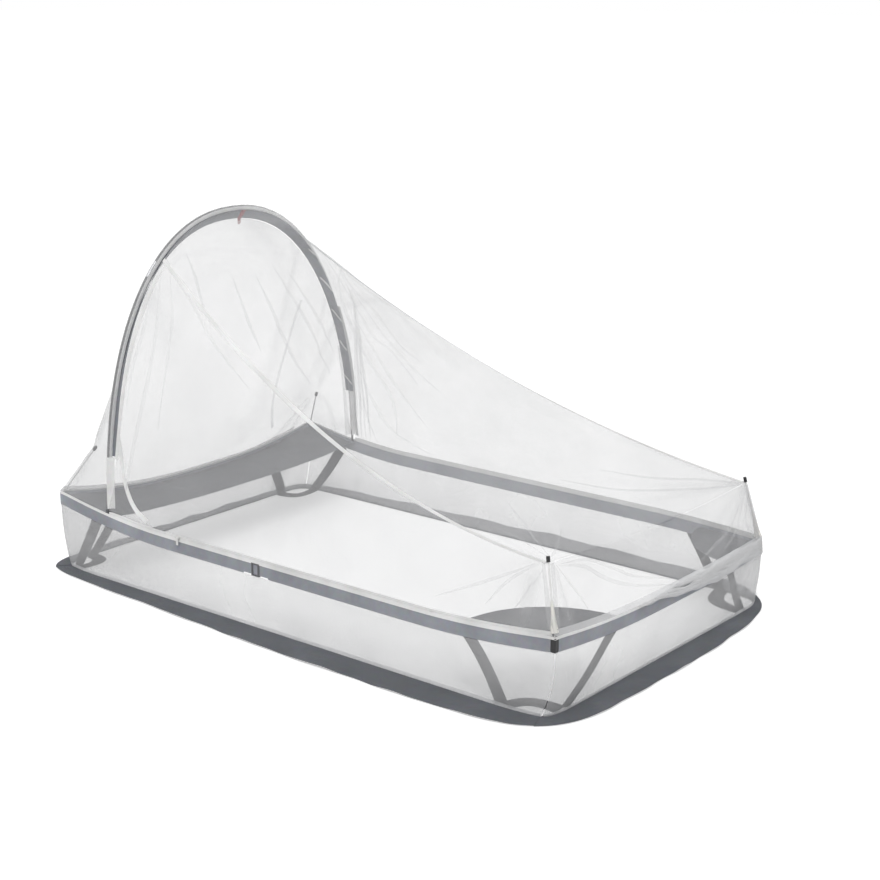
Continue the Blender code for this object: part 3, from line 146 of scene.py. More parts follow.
back = direction(CAMERA_AZIMUTH, CAMERA_ELEVATION)
camera = add_object("camera", bpy.data.cameras.new("camera"))
camera.data.lens = CAMERA_LENS
camera.data.sensor_width = CAMERA_SENSOR
camera.location = CAMERA_TARGET + back * CAMERA_DISTANCE
aim(camera, -back)
bpy.context.scene.camera = camera
bpy.context.scene.view_settings.view_transform = "Standard"
bpy.context.scene.cycles.transparent_max_bounces = LIGHT_BOUNCES

sun = add_object("sun", bpy.data.lights.new("sun", "SUN"))
sun.data.energy = SUN_STRENGTH
sun.data.angle = math.radians(SUN_ANGLE)
aim(sun, -direction(SUN_AZIMUTH, SUN_ELEVATION))

world = bpy.data.worlds.new("sky")
bpy.context.scene.world = world
world.use_nodes = True
sky = world.node_tree
backdrop = sky.nodes["Background"].inputs
backdrop["Color"].default_value = SKY_WHITE
level = ramp(sky, seen_plainly(sky), 0, 1, SKY_STRENGTH, SKY_SEEN)
sky.links.new(level, backdrop["Strength"])

bpy.ops.mesh.primitive_plane_add(size=2 * FLOOR_HALF, location=(0, 0, FLOOR_DEPTH))
floor = bpy.context.object
floor.name = "floor"
floor_material = bpy.data.materials.new("pale_floor")
floor_material.use_nodes = True
ground = floor_material.node_tree
ground.nodes.clear()
matt = ground.nodes.new("ShaderNodeBsdfDiffuse")
matt.inputs["Color"].default_value = FLOOR_COLOUR
glow = ground.nodes.new("ShaderNodeEmission")
both = ground.nodes.new("ShaderNodeAddShader")
output = ground.nodes.new("ShaderNodeOutputMaterial")
level = calc(ground, "MULTIPLY", seen_plainly(ground), FLOOR_GLOW)
ground.links.new(level, glow.inputs["Strength"])
ground.links.new(matt.outputs[0], both.inputs[0])
ground.links.new(glow.outputs[0], both.inputs[1])
ground.links.new(both.outputs[0], output.inputs["Surface"])
floor.data.materials.append(floor_material)


# Arch pole. Three drawn glass-fibre tubes, joined by aluminium ferrules and strung on an
# elastic cord with a white braided cover. A moulded tip with a ball foot closes each end.
LONG_SIDES = ("near", "far")
POLE_BLACK = (0.045, 0.046, 0.05, 1)
PLASTIC_BLACK = (0.02, 0.02, 0.022, 1)
FERRULE_GREY = (0.62, 0.62, 0.64, 1)
CORD_WHITE = (0.82, 0.82, 0.8, 1)
CORD_FLECK = (0.12, 0.14, 0.2, 1)
CORD_RADIUS = 0.0009
CORD_SIDES = 8
CORD_STEPS = 180
ARCH_X = -0.773
ARCH_POWER = 2.23
ARCH_TOP = 1.174
TIP_RADIUS = 0.0045
MERGE = 0.00002


def principled(name, colour, roughness, metallic=0.0, specular=0.5):
    """New material: the material, its node tree and its Principled shader."""
    material = bpy.data.materials.new(name)
    material.use_nodes = True
    shader = material.node_tree.nodes["Principled BSDF"]
    fill(shader, Base_Color=colour, Roughness=roughness, Metallic=metallic)
    fill(shader, Specular_IOR_Level=specular)
    return material, material.node_tree, shader


def texture(tree, kind, stretch=(1, 1, 1), **inputs):
    """New texture node on the piece's own coordinates, which may be stretched; the node."""
    place = tree.nodes.new("ShaderNodeTexCoord")
    mapping = tree.nodes.new("ShaderNodeMapping")
    fill(mapping, Scale=stretch)
    node = tree.nodes.new(kind)
    tree.links.new(place.outputs["Object"], mapping.inputs["Vector"])
    tree.links.new(mapping.outputs["Vector"], node.inputs["Vector"])
    fill(node, **inputs)
    return node


def two_tones(tree, factor, first, second):
    """Colour between two colours; the socket."""
    mix = tree.nodes.new("ShaderNodeMix")
    mix.data_type = "RGBA"
    fill(mix, A=first, B=second)
    tree.links.new(factor, mix.inputs["Factor"])
    return mix.outputs["Result"]


def shade(colour, times):
    """Colour made darker or lighter."""
    return tuple(min(1.0, c * times) for c in colour[:3]) + (1,)


def add_bump(tree, shader, height, distance):
    """Bump from a height socket, after any bump that the shader already has."""
    bump = tree.nodes.new("ShaderNodeBump")
    fill(bump, Strength=1.0, Distance=distance)
    tree.links.new(height, bump.inputs["Height"])
    for link in list(shader.inputs["Normal"].links):
        tree.links.new(link.from_socket, bump.inputs["Normal"])
    tree.links.new(bump.outputs["Normal"], shader.inputs["Normal"])


def make_uneven(tree, shader, marks, colour, tones, roughness, gloss):
    """Tone and roughness that vary with a texture: between two shades, and by two steps."""
    tone = two_tones(tree, marks.outputs["Fac"], *(shade(colour, times) for times in tones))
    rough = ramp(tree, marks.outputs["Fac"], 0.3, 0.7, *(roughness + step for step in gloss))
    tree.links.new(tone, shader.inputs["Base Color"])
    tree.links.new(rough, shader.inputs["Roughness"])


def moulded(name, colour, roughness, specular=0.4):
    """Moulded plastic: a fine grain, slightly uneven gloss and tone."""
    material, tree, shader = principled(name, colour, roughness, specular=specular)
    grain = texture(tree, "ShaderNodeTexNoise", Scale=900.0, Detail=3.0)
    tone = texture(tree, "ShaderNodeTexNoise", Scale=45.0, Detail=4.0)
    make_uneven(tree, shader, tone, colour, (0.75, 1.3), roughness, (-0.08, 0.1))
    add_bump(tree, shader, grain.outputs["Fac"], 0.00012)
    return material


def drawn_tube(name, colour, roughness, metallic, stretch):
    """Drawn tube or rod: fine lines along its length."""
    material, tree, shader = principled(name, colour, roughness, metallic)
    lines = texture(tree, "ShaderNodeTexNoise", stretch, Scale=1.0, Detail=4.0)
    make_uneven(tree, shader, lines, colour, (0.7, 1.3), roughness, (-0.1, 0.12))
    add_bump(tree, shader, lines.outputs["Fac"], 0.00008)
    return material


def finish_node(node, material):
    """Gives a CAD node that stays its material."""
    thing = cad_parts[node]
    thing.data.materials.clear()
    thing.data.materials.append(material)


def new_piece(bm, name):
    """Object from a bmesh."""
    mesh = bpy.data.meshes.new(name)
    bm.to_mesh(mesh)
    bm.free()
    return add_object(name, mesh)


def course(points, k):
    """Way that a line of points runs at one of them."""
    return points[min(k + 1, len(points) - 1)] - points[max(k - 1, 0)]


def join_rings(bm, rings):
    """Faces between closed rings of points."""
    for first, last in zip(rings, rings[1:]):
        for s in range(len(first)):
            after = (s + 1) % len(first)
            bm.faces.new((first[s], first[after], last[after], last[s]))


def round_tube(bm, points, radius, sides):
    """Closed round tube along a line of points that lies across the tent."""
    turns = [2 * math.pi * s / sides for s in range(sides)]
    rings = []
    for k, point in enumerate(points):
        along = course(points, k).normalized()
        across = along.cross(Vector((1, 0, 0))).normalized()
        third = along.cross(across)
        rays = (across * math.cos(turn) + third * math.sin(turn) for turn in turns)
        rings.append([bm.verts.new(point + ray * radius) for ray in rays])
    join_rings(bm, rings)
    bm.faces.new(rings[0])
    bm.faces.new(reversed(rings[-1]))
    bmesh.ops.recalc_face_normals(bm, faces=bm.faces)


def wear(piece, material, node=None, sharp=50):
    """Finish a piece: material and smooth shading; the CAD node that it stands for is hidden."""
    piece.data.materials.clear()
    piece.data.materials.append(material)
    piece.data.shade_smooth()
    piece.data.set_sharp_from_angle(angle=math.radians(sharp))
    if node:
        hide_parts(node)


tip_near, tip_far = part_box("arch_tip_near"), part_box("arch_tip_far")
FOOT_NEAR = Vector((ARCH_X, tip_near[0].y + TIP_RADIUS, tip_near[0].z + TIP_RADIUS))
FOOT_FAR = Vector((ARCH_X, tip_far[1].y - TIP_RADIUS, tip_far[0].z + TIP_RADIUS))


def arch_line(turn):
    """Place on the pole's centre line: 0 at the near foot, 1 at the far foot."""
    angle = math.pi * turn
    across = math.copysign(abs(math.cos(angle)) ** (2 / ARCH_POWER), math.cos(angle))
    rise = abs(math.sin(angle)) ** (2 / ARCH_POWER)
    middle = (FOOT_NEAR.y + FOOT_FAR.y) / 2
    half = (FOOT_FAR.y - FOOT_NEAR.y) / 2
    height = FOOT_NEAR.z + (ARCH_TOP - FOOT_NEAR.z) * rise
    return Vector((ARCH_X, middle - half * across, height))


pole_material = drawn_tube("pole_tube", POLE_BLACK, 0.38, 0.0, (300, 8, 8))
ferrule_material = drawn_tube("ferrule", FERRULE_GREY, 0.32, 1.0, (700, 20, 20))
black_plastic = moulded("black_plastic", PLASTIC_BLACK, 0.48)
for part in ("near", "top", "far"):
    finish_node(f"arch_pole_{part}", pole_material)
for side in LONG_SIDES:
    finish_node(f"arch_ferrule_{side}", ferrule_material)
    finish_node(f"arch_tip_{side}", black_plastic)

cord_material, cord_tree, cord_shader = principled("cord_braid", CORD_WHITE, 0.75, specular=0.3)
braid = texture(cord_tree, "ShaderNodeTexWave", Scale=260.0, Distortion=2.0).outputs["Fac"]
fleck = two_tones(cord_tree, ramp(cord_tree, braid, 0.86, 0.95), CORD_WHITE, CORD_FLECK)
cord_tree.links.new(fleck, cord_shader.inputs["Base Color"])
add_bump(cord_tree, cord_shader, braid, 0.0002)
cord = bmesh.new()
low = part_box("arch_shock_cord")[0].z
cord_points = [arch_line(k / CORD_STEPS) for k in range(CORD_STEPS + 1)]
round_tube(cord, [point for point in cord_points if point.z > low], CORD_RADIUS, CORD_SIDES)
cord = new_piece(cord, "pole_elastic")
wear(cord, cord_material, "arch_shock_cord")
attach(cord, "arch")


# Belt and sleeve of the arch. The belt is a flat strip of the harness fabric, folded over and
# sewn down both long edges. A strip of white mesh joins it to the pole, and a sleeve of fine
# mesh is drawn over the pole itself.
BAND_GREY = (0.375, 0.392, 0.435, 1)
SLEEVE_WHITE = (0.93, 0.93, 0.93, 1)
BELT_THICKNESS = 0.0012
SLEEVE_THICKNESS = 0.001
THREAD = 0.0012
STITCH_PITCH = 0.0075
STITCH = (0.0007, 0.0007, 0.0048)
STITCH_INSET = 0.0038
STITCH_GREY = (0.4, 0.41, 0.45, 1)
SKIN_LOOSE = 1.6
SKIN_TIGHT = 0.5
OUTER_LEAD = 1.01
FOLD_LIMIT = math.radians(75)
CORNER_TURN = math.radians(38)
QUAD_FLAT = math.radians(60)
QUAD_SHAPE = math.radians(70)
ROW_SIZES = (0.88, 1.1)


def threads(tree, pitch):
    """Woven grid on the cloth map, at a pitch in metres: 1 on a thread, 0 in a gap."""
    place = tree.nodes.new("ShaderNodeUVMap")
    place.uv_map = "cloth"
    split = tree.nodes.new("ShaderNodeSeparateXYZ")
    tree.links.new(place.outputs["UV"], split.inputs[0])
    turns = [calc(tree, "MULTIPLY", split.outputs[k], 2 * math.pi / pitch) for k in (0, 1)]
    crests = [calc(tree, "COSINE", turn) for turn in turns]
    return ramp(tree, calc(tree, "MAXIMUM", *crests), 0.1, 0.9)


def woven(
    name, colour, roughness=0.8, thread=THREAD, crease=0.004, stretch=(1, 1, 1), fleck=0.35
):
    """Matt woven cloth: its weave, uneven threads, faded and darker places, soft creases."""
    material, tree, shader = principled(name, colour, roughness, specular=0.3)
    shader.inputs["Sheen Weight"].default_value = 0.15
    slub = texture(tree, "ShaderNodeTexNoise", stretch, Scale=60.0, Detail=3.0)
    tone = texture(tree, "ShaderNodeTexNoise", stretch, Scale=7.0, Detail=6.0)
    faded = ramp(tree, tone.outputs["Fac"], 0.3, 0.7)
    fine = tree.nodes.new("ShaderNodeMix")
    fine.data_type = "RGBA"
    fine.blend_type = "MULTIPLY"
    fine.inputs["Factor"].default_value = fleck
    tones = two_tones(tree, faded, shade(colour, 0.84), shade(colour, 1.14))
    tree.links.new(tones, fine.inputs["A"])
    tree.links.new(slub.outputs["Color"], fine.inputs["B"])
    tree.links.new(fine.outputs["Result"], shader.inputs["Base Color"])
    add_bump(tree, shader, threads(tree, thread), 0.0002)
    add_bump(tree, shader, slub.outputs["Fac"], 0.0005)
    add_bump(tree, shader, tone.outputs["Fac"], crease)
    return material


def node_mesh(node):
    """Mesh of a CAD node with its doubled points merged, as a bmesh."""
    bm = bmesh.new()
    bm.from_mesh(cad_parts[node].data)
    bmesh.ops.remove_doubles(bm, verts=bm.verts, dist=MERGE)
    return bm


def join_quads(bm, flat, shape):
    """Joins triangles that lie flat enough and make a square enough face."""
    bmesh.ops.join_triangles(
        bm, faces=bm.faces, angle_face_threshold=flat, angle_shape_threshold=shape
    )


def cloth_skin(node, thickness, limit=FOLD_LIMIT):
    """Middle surface of a CAD cloth solid, as quads that face away from the tent."""
    bm = node_mesh(node)
    tree = BVHTree.FromBMesh(bm)
    left = set()
    for face in bm.faces:
        centre = face.calc_center_median()
        hit = tree.ray_cast(centre - face.normal * MERGE, -face.normal)
        if hit[0] is not None and SKIN_TIGHT * thickness < hit[3] < SKIN_LOOSE * thickness:
            left.add(face)
    best, best_size = None, -1
    middle = (cad_box[0] + cad_box[1]) / 2
    while left:
        start = left.pop()
        island, stack = {start}, [start]
        while stack:
            face = stack.pop()
            for other in (f for edge in face.edges for f in edge.link_faces if f in left):
                if face.normal.angle(other.normal, 0) < limit:
                    left.discard(other)
                    island.add(other)
                    stack.append(other)
        size, facing = 0.0, 0.0
        for face in island:
            size += face.calc_area()
            facing += (face.calc_center_median() - middle).dot(face.normal) * face.calc_area()
        size *= OUTER_LEAD if facing > 0 else 1
        if size > best_size:
            best, best_size = island, size
    bmesh.ops.delete(bm, geom=[f for f in bm.faces if f not in best], context="FACES")
    bm.normal_update()
    normals = {v: v.normal.copy() for v in bm.verts}
    for vert, normal in normals.items():
        vert.co -= normal * thickness / 2
    join_quads(bm, QUAD_FLAT, QUAD_SHAPE)
    return bm


def keep_corners(bm):
    """Marks the corners of a sheet's outline, so that smoothing leaves them where they are."""
    crease = bm.verts.layers.float.new("crease_vert")
    for vert in bm.verts:
        edges = [edge for edge in vert.link_edges if edge.is_boundary]
        if len(edges) == 2:
            first, second = (edge.other_vert(vert).co - vert.co for edge in edges)
            if first.angle(-second, 0) > CORNER_TURN:
                vert[crease] = 1.0


def settle(piece):
    """Turns a piece with modifiers into a plain mesh."""
    graph = bpy.context.evaluated_depsgraph_get()
    plain = bpy.data.meshes.new_from_object(piece.evaluated_get(graph))
    piece.modifiers.clear()
    piece.data = plain


def refine(bm, name, levels=2):
    """Object with the sheet smoothed by subdivision, its corners kept."""
    keep_corners(bm)
    piece = new_piece(bm, name)
    smooth = piece.modifiers.new("smooth", "SUBSURF")
    smooth.levels = smooth.render_levels = levels
    smooth.boundary_smooth = "PRESERVE_CORNERS"
    settle(piece)
    return piece


def map_cloth(piece):
    """Cloth map in metres on every face, along the two axes that the face lies most along."""
    layer = piece.data.uv_layers.new(name="cloth")
    for face in piece.data.polygons:
        flat = max(range(3), key=lambda k: abs(face.normal[k]))
        along = [k for k in range(3) if k != flat]
        for loop in face.loop_indices:
            point = piece.data.vertices[piece.data.loops[loop].vertex_index].co
            layer.data[loop].uv = (point[along[0]], point[along[1]])


def thicken(piece, thickness):
    """Gives a sheet its thickness, half to each side, and its cloth map."""
    wall = piece.modifiers.new("wall", "SOLIDIFY")
    wall.thickness = thickness
    wall.offset = 0
    settle(piece)
    map_cloth(piece)


def sheet_area(piece):
    """Area of a sheet that has no thickness yet."""
    return sum(face.area for face in piece.data.polygons)


def hem_line(chain, inset, lift):
    """Line a little inside a chain of edge points, lifted off the sheet."""
    line = []
    for vert in chain:
        centres = [face.calc_center_median() for face in vert.link_faces]
        inward = sum(centres, Vector()) / len(centres) - vert.co
        edges = [edge for edge in vert.link_edges if edge.is_boundary]
        along = (edges[0].other_vert(vert).co - edges[-1].other_vert(vert).co).normalized()
        inward -= along * inward.dot(along)
        if inward.length > MERGE:
            line.append(vert.co + inward.normalized() * inset + vert.normal * lift)
    return line


def hem_lines(piece, inset, stand):
    """Closed lines a little inside a sheet's edges, on its outer side and on its inner side."""
    bm = bmesh.new()
    bm.from_mesh(piece.data)
    bm.normal_update()
    loose = dict.fromkeys(edge for edge in bm.edges if edge.is_boundary)
    lines = []
    while loose:
        edge = next(iter(loose))
        del loose[edge]
        start, here = edge.verts
        chain = [start, here]
        while here != start:
            following = next((e for e in here.link_edges if e in loose), None)
            if following is None:
                break
            del loose[following]
            here = following.other_vert(here)
            chain.append(here)
        lines += [hem_line(chain, inset, stand), hem_line(chain, inset, -stand)]
    bm.free()
    return lines


def row_tree(name, shape, material):
    """Geometry Nodes tree that sets a small shape along lines: a round stitch or a tooth."""
    tree = bpy.data.node_groups.new(name, "GeometryNodeTree")
    add_socket = tree.interface.new_socket
    add_socket("Geometry", in_out="INPUT", socket_type="NodeSocketGeometry")
    kinds = {"Pitch": "NodeSocketFloat", "Size": "NodeSocketVector", "Seed": "NodeSocketInt"}
    ids = {
        label: add_socket(label, in_out="INPUT", socket_type=kind).identifier
        for label, kind in kinds.items()
    }
    add_socket("Geometry", in_out="OUTPUT", socket_type="NodeSocketGeometry")
    given = tree.nodes.new("NodeGroupInput")
    made = tree.nodes.new("NodeGroupOutput")
    curve = tree.nodes.new("GeometryNodeMeshToCurve")
    points = tree.nodes.new("GeometryNodeCurveToPoints")
    points.mode = "LENGTH"
    if shape == "stitch":
        unit = tree.nodes.new("GeometryNodeMeshIcoSphere")
        unit.inputs["Radius"].default_value = 0.5
        unit.inputs["Subdivisions"].default_value = 1
    else:
        unit = tree.nodes.new("GeometryNodeMeshCube")
    chance = tree.nodes.new("FunctionNodeRandomValue")
    chance.data_type = "FLOAT"
    chance.inputs[2].default_value, chance.inputs[3].default_value = ROW_SIZES
    grow = tree.nodes.new("ShaderNodeVectorMath")
    grow.operation = "SCALE"
    instances = tree.nodes.new("GeometryNodeInstanceOnPoints")
    realize = tree.nodes.new("GeometryNodeRealizeInstances")
    paint = tree.nodes.new("GeometryNodeSetMaterial")
    paint.inputs["Material"].default_value = material
    for start, output, end, socket in (
        (given, "Geometry", curve, "Mesh"),
        (curve, "Curve", points, "Curve"),
        (given, "Pitch", points, "Length"),
        (given, "Seed", chance, "Seed"),
        (given, "Size", grow, 0),
        (chance, 1, grow, "Scale"),
        (points, "Points", instances, "Points"),
        (points, "Rotation", instances, "Rotation"),
        (unit, "Mesh", instances, "Instance"),
        (grow, "Vector", instances, "Scale"),
        (instances, "Instances", realize, "Geometry"),
        (realize, "Geometry", paint, "Geometry"),
        (paint, "Geometry", made, "Geometry"),
    ):
        tree.links.new(start.outputs[output], end.inputs[socket])
    return tree, ids


def row_of(name, lines, rows, pitch, size, body):
    """One mesh of stitches or teeth along lines of points, riding on a body."""
    bm = bmesh.new()
    for line in lines:
        verts = [bm.verts.new(point) for point in line]
        for first, last in zip(verts, verts[1:]):
            bm.edges.new((first, last))
    piece = new_piece(bm, name)
    tree, ids = rows
    modifier = piece.modifiers.new("rows", "NODES")
    modifier.node_group = tree
    modifier[ids["Pitch"]] = pitch
    modifier[ids["Size"]] = size
    modifier[ids["Seed"]] = 1
    settle(piece)
    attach(piece, body)
    return piece


def sewn_cloth(piece, node, thickness, material, rows, lines=None, **says):
    body = "arch" if node == "arch_belt" else "harness"
    lines = lines or hem_lines(piece, STITCH_INSET, thickness / 2)
    thicken(piece, thickness)
    wear(piece, material, node)
    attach(piece, body)
    sewn = row_of(f"{node}_stitches", lines, rows, STITCH_PITCH, STITCH, body)


band_fabric = woven("band_fabric", BAND_GREY, fleck=0.28)
# The belt is the band fabric with painted shade: its colour is darkened by a third to stand in for
# the shade on the belt.
belt_fabric_painted_shade = woven("belt_fabric_painted_shade", shade(BAND_GREY, 0.66), fleck=0.28)
stitching = row_tree("stitch_row", "stitch", moulded("grey_thread", STITCH_GREY, 0.7, 0.2))
belt = refine(cloth_skin("arch_belt", 0.0015), "arch_belt_cloth")
sewn_cloth(
    belt, "arch_belt", BELT_THICKNESS, belt_fabric_painted_shade, stitching,
    flat=(0.038, 2.05), held="stretched", rests_on=["arch_pole_top"],
)

sleeve_mesh = woven("sleeve_mesh", SLEEVE_WHITE, 0.75, 0.001, 0.001, fleck=0.08)
sleeve = refine(cloth_skin("arch_sleeve", 0.0012), "arch_sleeve_cloth")
thicken(sleeve, SLEEVE_THICKNESS)
wear(sleeve, sleeve_mesh, "arch_sleeve")
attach(sleeve, "arch")

NET_WHITE = (0.72, 0.722, 0.73, 1)
NET_THREAD = 0.0016
NET_COVER = (0.125, 0.22)
GATHER_COVER = 0.5


def netting(name, colour=NET_WHITE, cover=NET_COVER, gather=GATHER_COVER):
    """Fine white mesh: threads with open gaps, denser where the mesh says it is gathered."""
    material, tree, shader = principled(name, colour, 0.85, specular=0.15)
    grid = ramp(tree, threads(tree, NET_THREAD), 0, 1, *cover)
    cloud = texture(tree, "ShaderNodeTexNoise", Scale=3.5, Detail=4.0)
    uneven = ramp(tree, cloud.outputs["Fac"], 0.3, 0.7, 0.86, 1.14)
    bunch = tree.nodes.new("ShaderNodeAttribute")
    bunch.attribute_name = "gather"
    even = calc(tree, "MULTIPLY", grid, uneven)
    alpha = calc(tree, "MULTIPLY_ADD", bunch.outputs["Fac"], gather, even)
    alpha.node.use_clamp = True
    tree.links.new(alpha, shader.inputs["Alpha"])
    creased = texture(tree, "ShaderNodeTexNoise", Scale=9.0, Detail=5.0, Roughness=0.6)
    add_bump(tree, shader, creased.outputs["Fac"], 0.014)
    return material


WRAP_RADIUS = 0.0058
WRAP_THICKNESS = 0.0004
WRAP_SIDES = 14
WRAP_OPEN = 0.3
WRAP_CHANGE = 0.4
wrap_net = netting("sleeve_net", shade(NET_WHITE, 1.2), (0.1, 0.18), 0.8)
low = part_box("arch_sleeve")[0].z
wrap_line = [point for point in cord_points if point.z > low]
wrap = bmesh.new()
round_tube(wrap, wrap_line, WRAP_RADIUS, WRAP_SIDES)
ends = [face for face in wrap.faces if len(face.verts) != 4]
bmesh.ops.delete(wrap, geom=ends, context="FACES_ONLY")
wrap = new_piece(wrap, "pole_sleeve")
layer = wrap.data.attributes.new("gather", "FLOAT", "POINT")
for k, vert in enumerate(wrap.data.vertices):
    ring = k // WRAP_SIDES
    along = course(wrap_line, ring)
    outward = Vector((0, -along.z, along.y)).normalized()
    share = (vert.co - wrap_line[ring]).dot(outward) / WRAP_RADIUS
    layer.data[k].value = min(max((WRAP_OPEN - share) / WRAP_CHANGE, 0), 1)
thicken(wrap, WRAP_THICKNESS)
wear(wrap, wrap_net)
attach(wrap, "arch")

FRONT_WIDTH = 0.0125
FRONT_DROP = 0.0062
FRONT_STAND = 0.0063


def join_rows(bm, rows):
    """Faces between open rows of points."""
    for first, last in zip(rows, rows[1:]):
        for s in range(len(first) - 1):
            bm.faces.new((first[s], first[s + 1], last[s + 1], last[s]))


front_rows = []
front = bmesh.new()
for k, point in enumerate(wrap_line):
    along = course(wrap_line, k)
    inward = Vector((0, along.z, -along.y)).normalized()
    middle = point + inward * FRONT_DROP + Vector((FRONT_STAND, 0, 0))
    half = inward * FRONT_WIDTH / 2
    front_rows.append([front.verts.new(middle + half * share) for share in (-1, 0, 1)])
join_rows(front, front_rows)
front = new_piece(front, "pole_sleeve_front")
thicken(front, WRAP_THICKNESS)
wear(front, sleeve_mesh)
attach(front, "arch")


# Loop at the top of the arch, for hanging the tent up. A short tab of red webbing is sewn over
# the belt, and a loop of the same webbing swings on it.
WEBBING_RED = (0.43, 0.045, 0.055, 1)
TAB_THICKNESS = 0.0015


def softened(node, name, flat, shape, sharp, offset, segments):
    """CAD node as a new piece, its triangles joined and its sharp edges rounded."""
    bm = node_mesh(node)
    join_quads(bm, flat, shape)
    edges = [e for e in bm.edges if len(e.link_faces) == 2 and e.calc_face_angle(0) > sharp]
    bmesh.ops.bevel(bm, geom=edges, offset=offset, segments=segments, affect="EDGES")
    piece = new_piece(bm, name)
    map_cloth(piece)
    return piece


red_webbing = woven("red_webbing", WEBBING_RED, 0.7, 0.0011, 0.0006)
tab = refine(cloth_skin("loop_tab", 0.0016), "loop_tab_webbing")
thicken(tab, TAB_THICKNESS)
wear(tab, red_webbing, "loop_tab")
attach(tab, "arch")
loop = softened("hanging_loop", "hanging_loop_webbing", 0.3, 1.2, 0.9, 0.00025, 2)
wear(loop, red_webbing, "hanging_loop")
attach(loop, "loop")


# Rim of the harness. Four bands of folded grey fabric run round the rim, joined at the corners
# and bound along the top with one white tape. The rods' pockets are sewn into the corners, and
# one band draws tight through a small adjuster.
OUTWARD = {
    "near": Vector((0, -1, 0)),
    "foot": Vector((1, 0, 0)),
    "far": Vector((0, 1, 0)),
    "head": Vector((-1, 0, 0)),
}
CORNERS = ("head_near", "foot_near", "foot_far", "head_far")
BAND_THICKNESS = 0.002
BAND_WIDTH = 0.042
BAND_LENGTHS = {"near": 2.0, "foot": 1.2, "far": 2.0, "head": 1.2}
TAPE_WHITE = (0.93, 0.93, 0.92, 1)
BINDING_THICKNESS = 0.0018
BINDING_DROP = 0.0035
BINDING_STAND = 0.0012
BINDING_FOLD = math.radians(170)
EDGE_FALL = 0.003
EDGE_LEAN = 0.004
POCKET_ROUND = 0.0006
ADJUSTER_GREY = (0.12, 0.122, 0.13, 1)

for side, length in BAND_LENGTHS.items():
    node = f"band_{side}"
    band = refine(cloth_skin(node, 0.0025), f"{node}_cloth")
    sewn_cloth(
        band, node, BAND_THICKNESS, band_fabric, stitching,
        flat=(BAND_WIDTH, length), held="stretched",
    )

white_tape = woven("white_tape", TAPE_WHITE, 0.7, 0.0009, 0.0008, fleck=0.08)
skin = cloth_skin("rim_binding", 0.002, BINDING_FOLD)
rim_tops = []
for vert in skin.verts:
    for edge in vert.link_edges:
        other = edge.other_vert(vert)
        fall = vert.co - other.co
        if fall.z > EDGE_FALL and fall.to_2d().length < EDGE_LEAN:
            rim_tops.append(vert.co.copy())
            other.co.z -= BINDING_DROP
            other.co += Vector((vert.normal.x, vert.normal.y, 0)) * BINDING_STAND
binding = refine(skin, "rim_binding_tape")
thicken(binding, BINDING_THICKNESS)
wear(binding, white_tape, "rim_binding")
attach(binding, "harness")

for corner in CORNERS:
    finish_node(f"corner_pocket_{corner}", band_fabric if "head" in corner else black_plastic)
finish_node("band_adjuster", moulded("adjuster_plastic", ADJUSTER_GREY, 0.5))
for side in LONG_SIDES:
    node = f"arch_pocket_{side}"
    pocket = softened(node, f"{node}_fabric", 0.1, 3.0, 1, POCKET_ROUND, 3)
    wear(pocket, band_fabric, node, sharp=40)
    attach(pocket, "harness")


# Corner rods. Four short white glass-fibre rods stand in the rim's corners and lean out, each
# with a black moulded cap that holds the canopy up. Their ball feet turn in the pockets. A short
# flared sleeve of cream cloth is drawn over the foot of each foot rod.
ROD_WHITE = (0.8, 0.8, 0.78, 1)
ROD_CREAM = (0.87, 0.86, 0.81, 1)
ROD_FEET = {
    "foot_near": Vector((1.016, -0.604, 0.2522)),
    "foot_far": Vector((0.976, 0.567, 0.2052)),
}
ROD_SLEEVE_FOOT = 0.0115
ROD_SLEEVE_TOP = 0.0035
ROD_SLEEVE_START = 0.014
ROD_SLEEVE_LENGTH = 0.085
ROD_SLEEVE_FLARE = 1.6
ROD_SLEEVE_RINGS = 12
ROD_SLEEVE_SIDES = 28
ROD_SLEEVE_FOLDS = 5
ROD_SLEEVE_DEPTH = 0.16
ROD_SLEEVE_TWIST = 2

rod_material = drawn_tube("rod_white", ROD_WHITE, 0.42, 0.0, (300, 300, 10))
for corner in CORNERS:
    finish_node(f"corner_rod_{corner}", rod_material)
    finish_node(f"rod_cap_{corner}", black_plastic)

rod_cloth = woven("rod_sleeve_cloth", ROD_CREAM, 0.8, 0.001, 0.003, fleck=0.1)
for corner, foot in ROD_FEET.items():
    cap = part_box(f"rod_cap_{corner}")
    up = ((cap[0] + cap[1]) / 2 - foot).normalized()
    across = up.cross(Vector((0, 1, 0))).normalized()
    third = up.cross(across)
    bm = bmesh.new()
    rings = []
    for k in range(ROD_SLEEVE_RINGS + 1):
        share = k / ROD_SLEEVE_RINGS
        wide = (ROD_SLEEVE_FOOT - ROD_SLEEVE_TOP) * (1 - share) ** ROD_SLEEVE_FLARE
        middle = foot + up * (ROD_SLEEVE_START + ROD_SLEEVE_LENGTH * share)
        rings.append([])
        for s in range(ROD_SLEEVE_SIDES):
            turn = 2 * math.pi * s / ROD_SLEEVE_SIDES
            wave = math.sin(ROD_SLEEVE_FOLDS * turn + ROD_SLEEVE_TWIST * share)
            fold = 1 + ROD_SLEEVE_DEPTH * (1 - share) * wave
            ray = across * math.cos(turn) + third * math.sin(turn)
            rings[-1].append(bm.verts.new(middle + ray * (ROD_SLEEVE_TOP + wide) * fold))
    join_rings(bm, rings)
    bmesh.ops.recalc_face_normals(bm, faces=bm.faces)
    rod_sleeve = new_piece(bm, f"rod_sleeve_{corner}")
    thicken(rod_sleeve, WRAP_THICKNESS)
    wear(rod_sleeve, rod_cloth)
    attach(rod_sleeve, f"rod_{corner}")


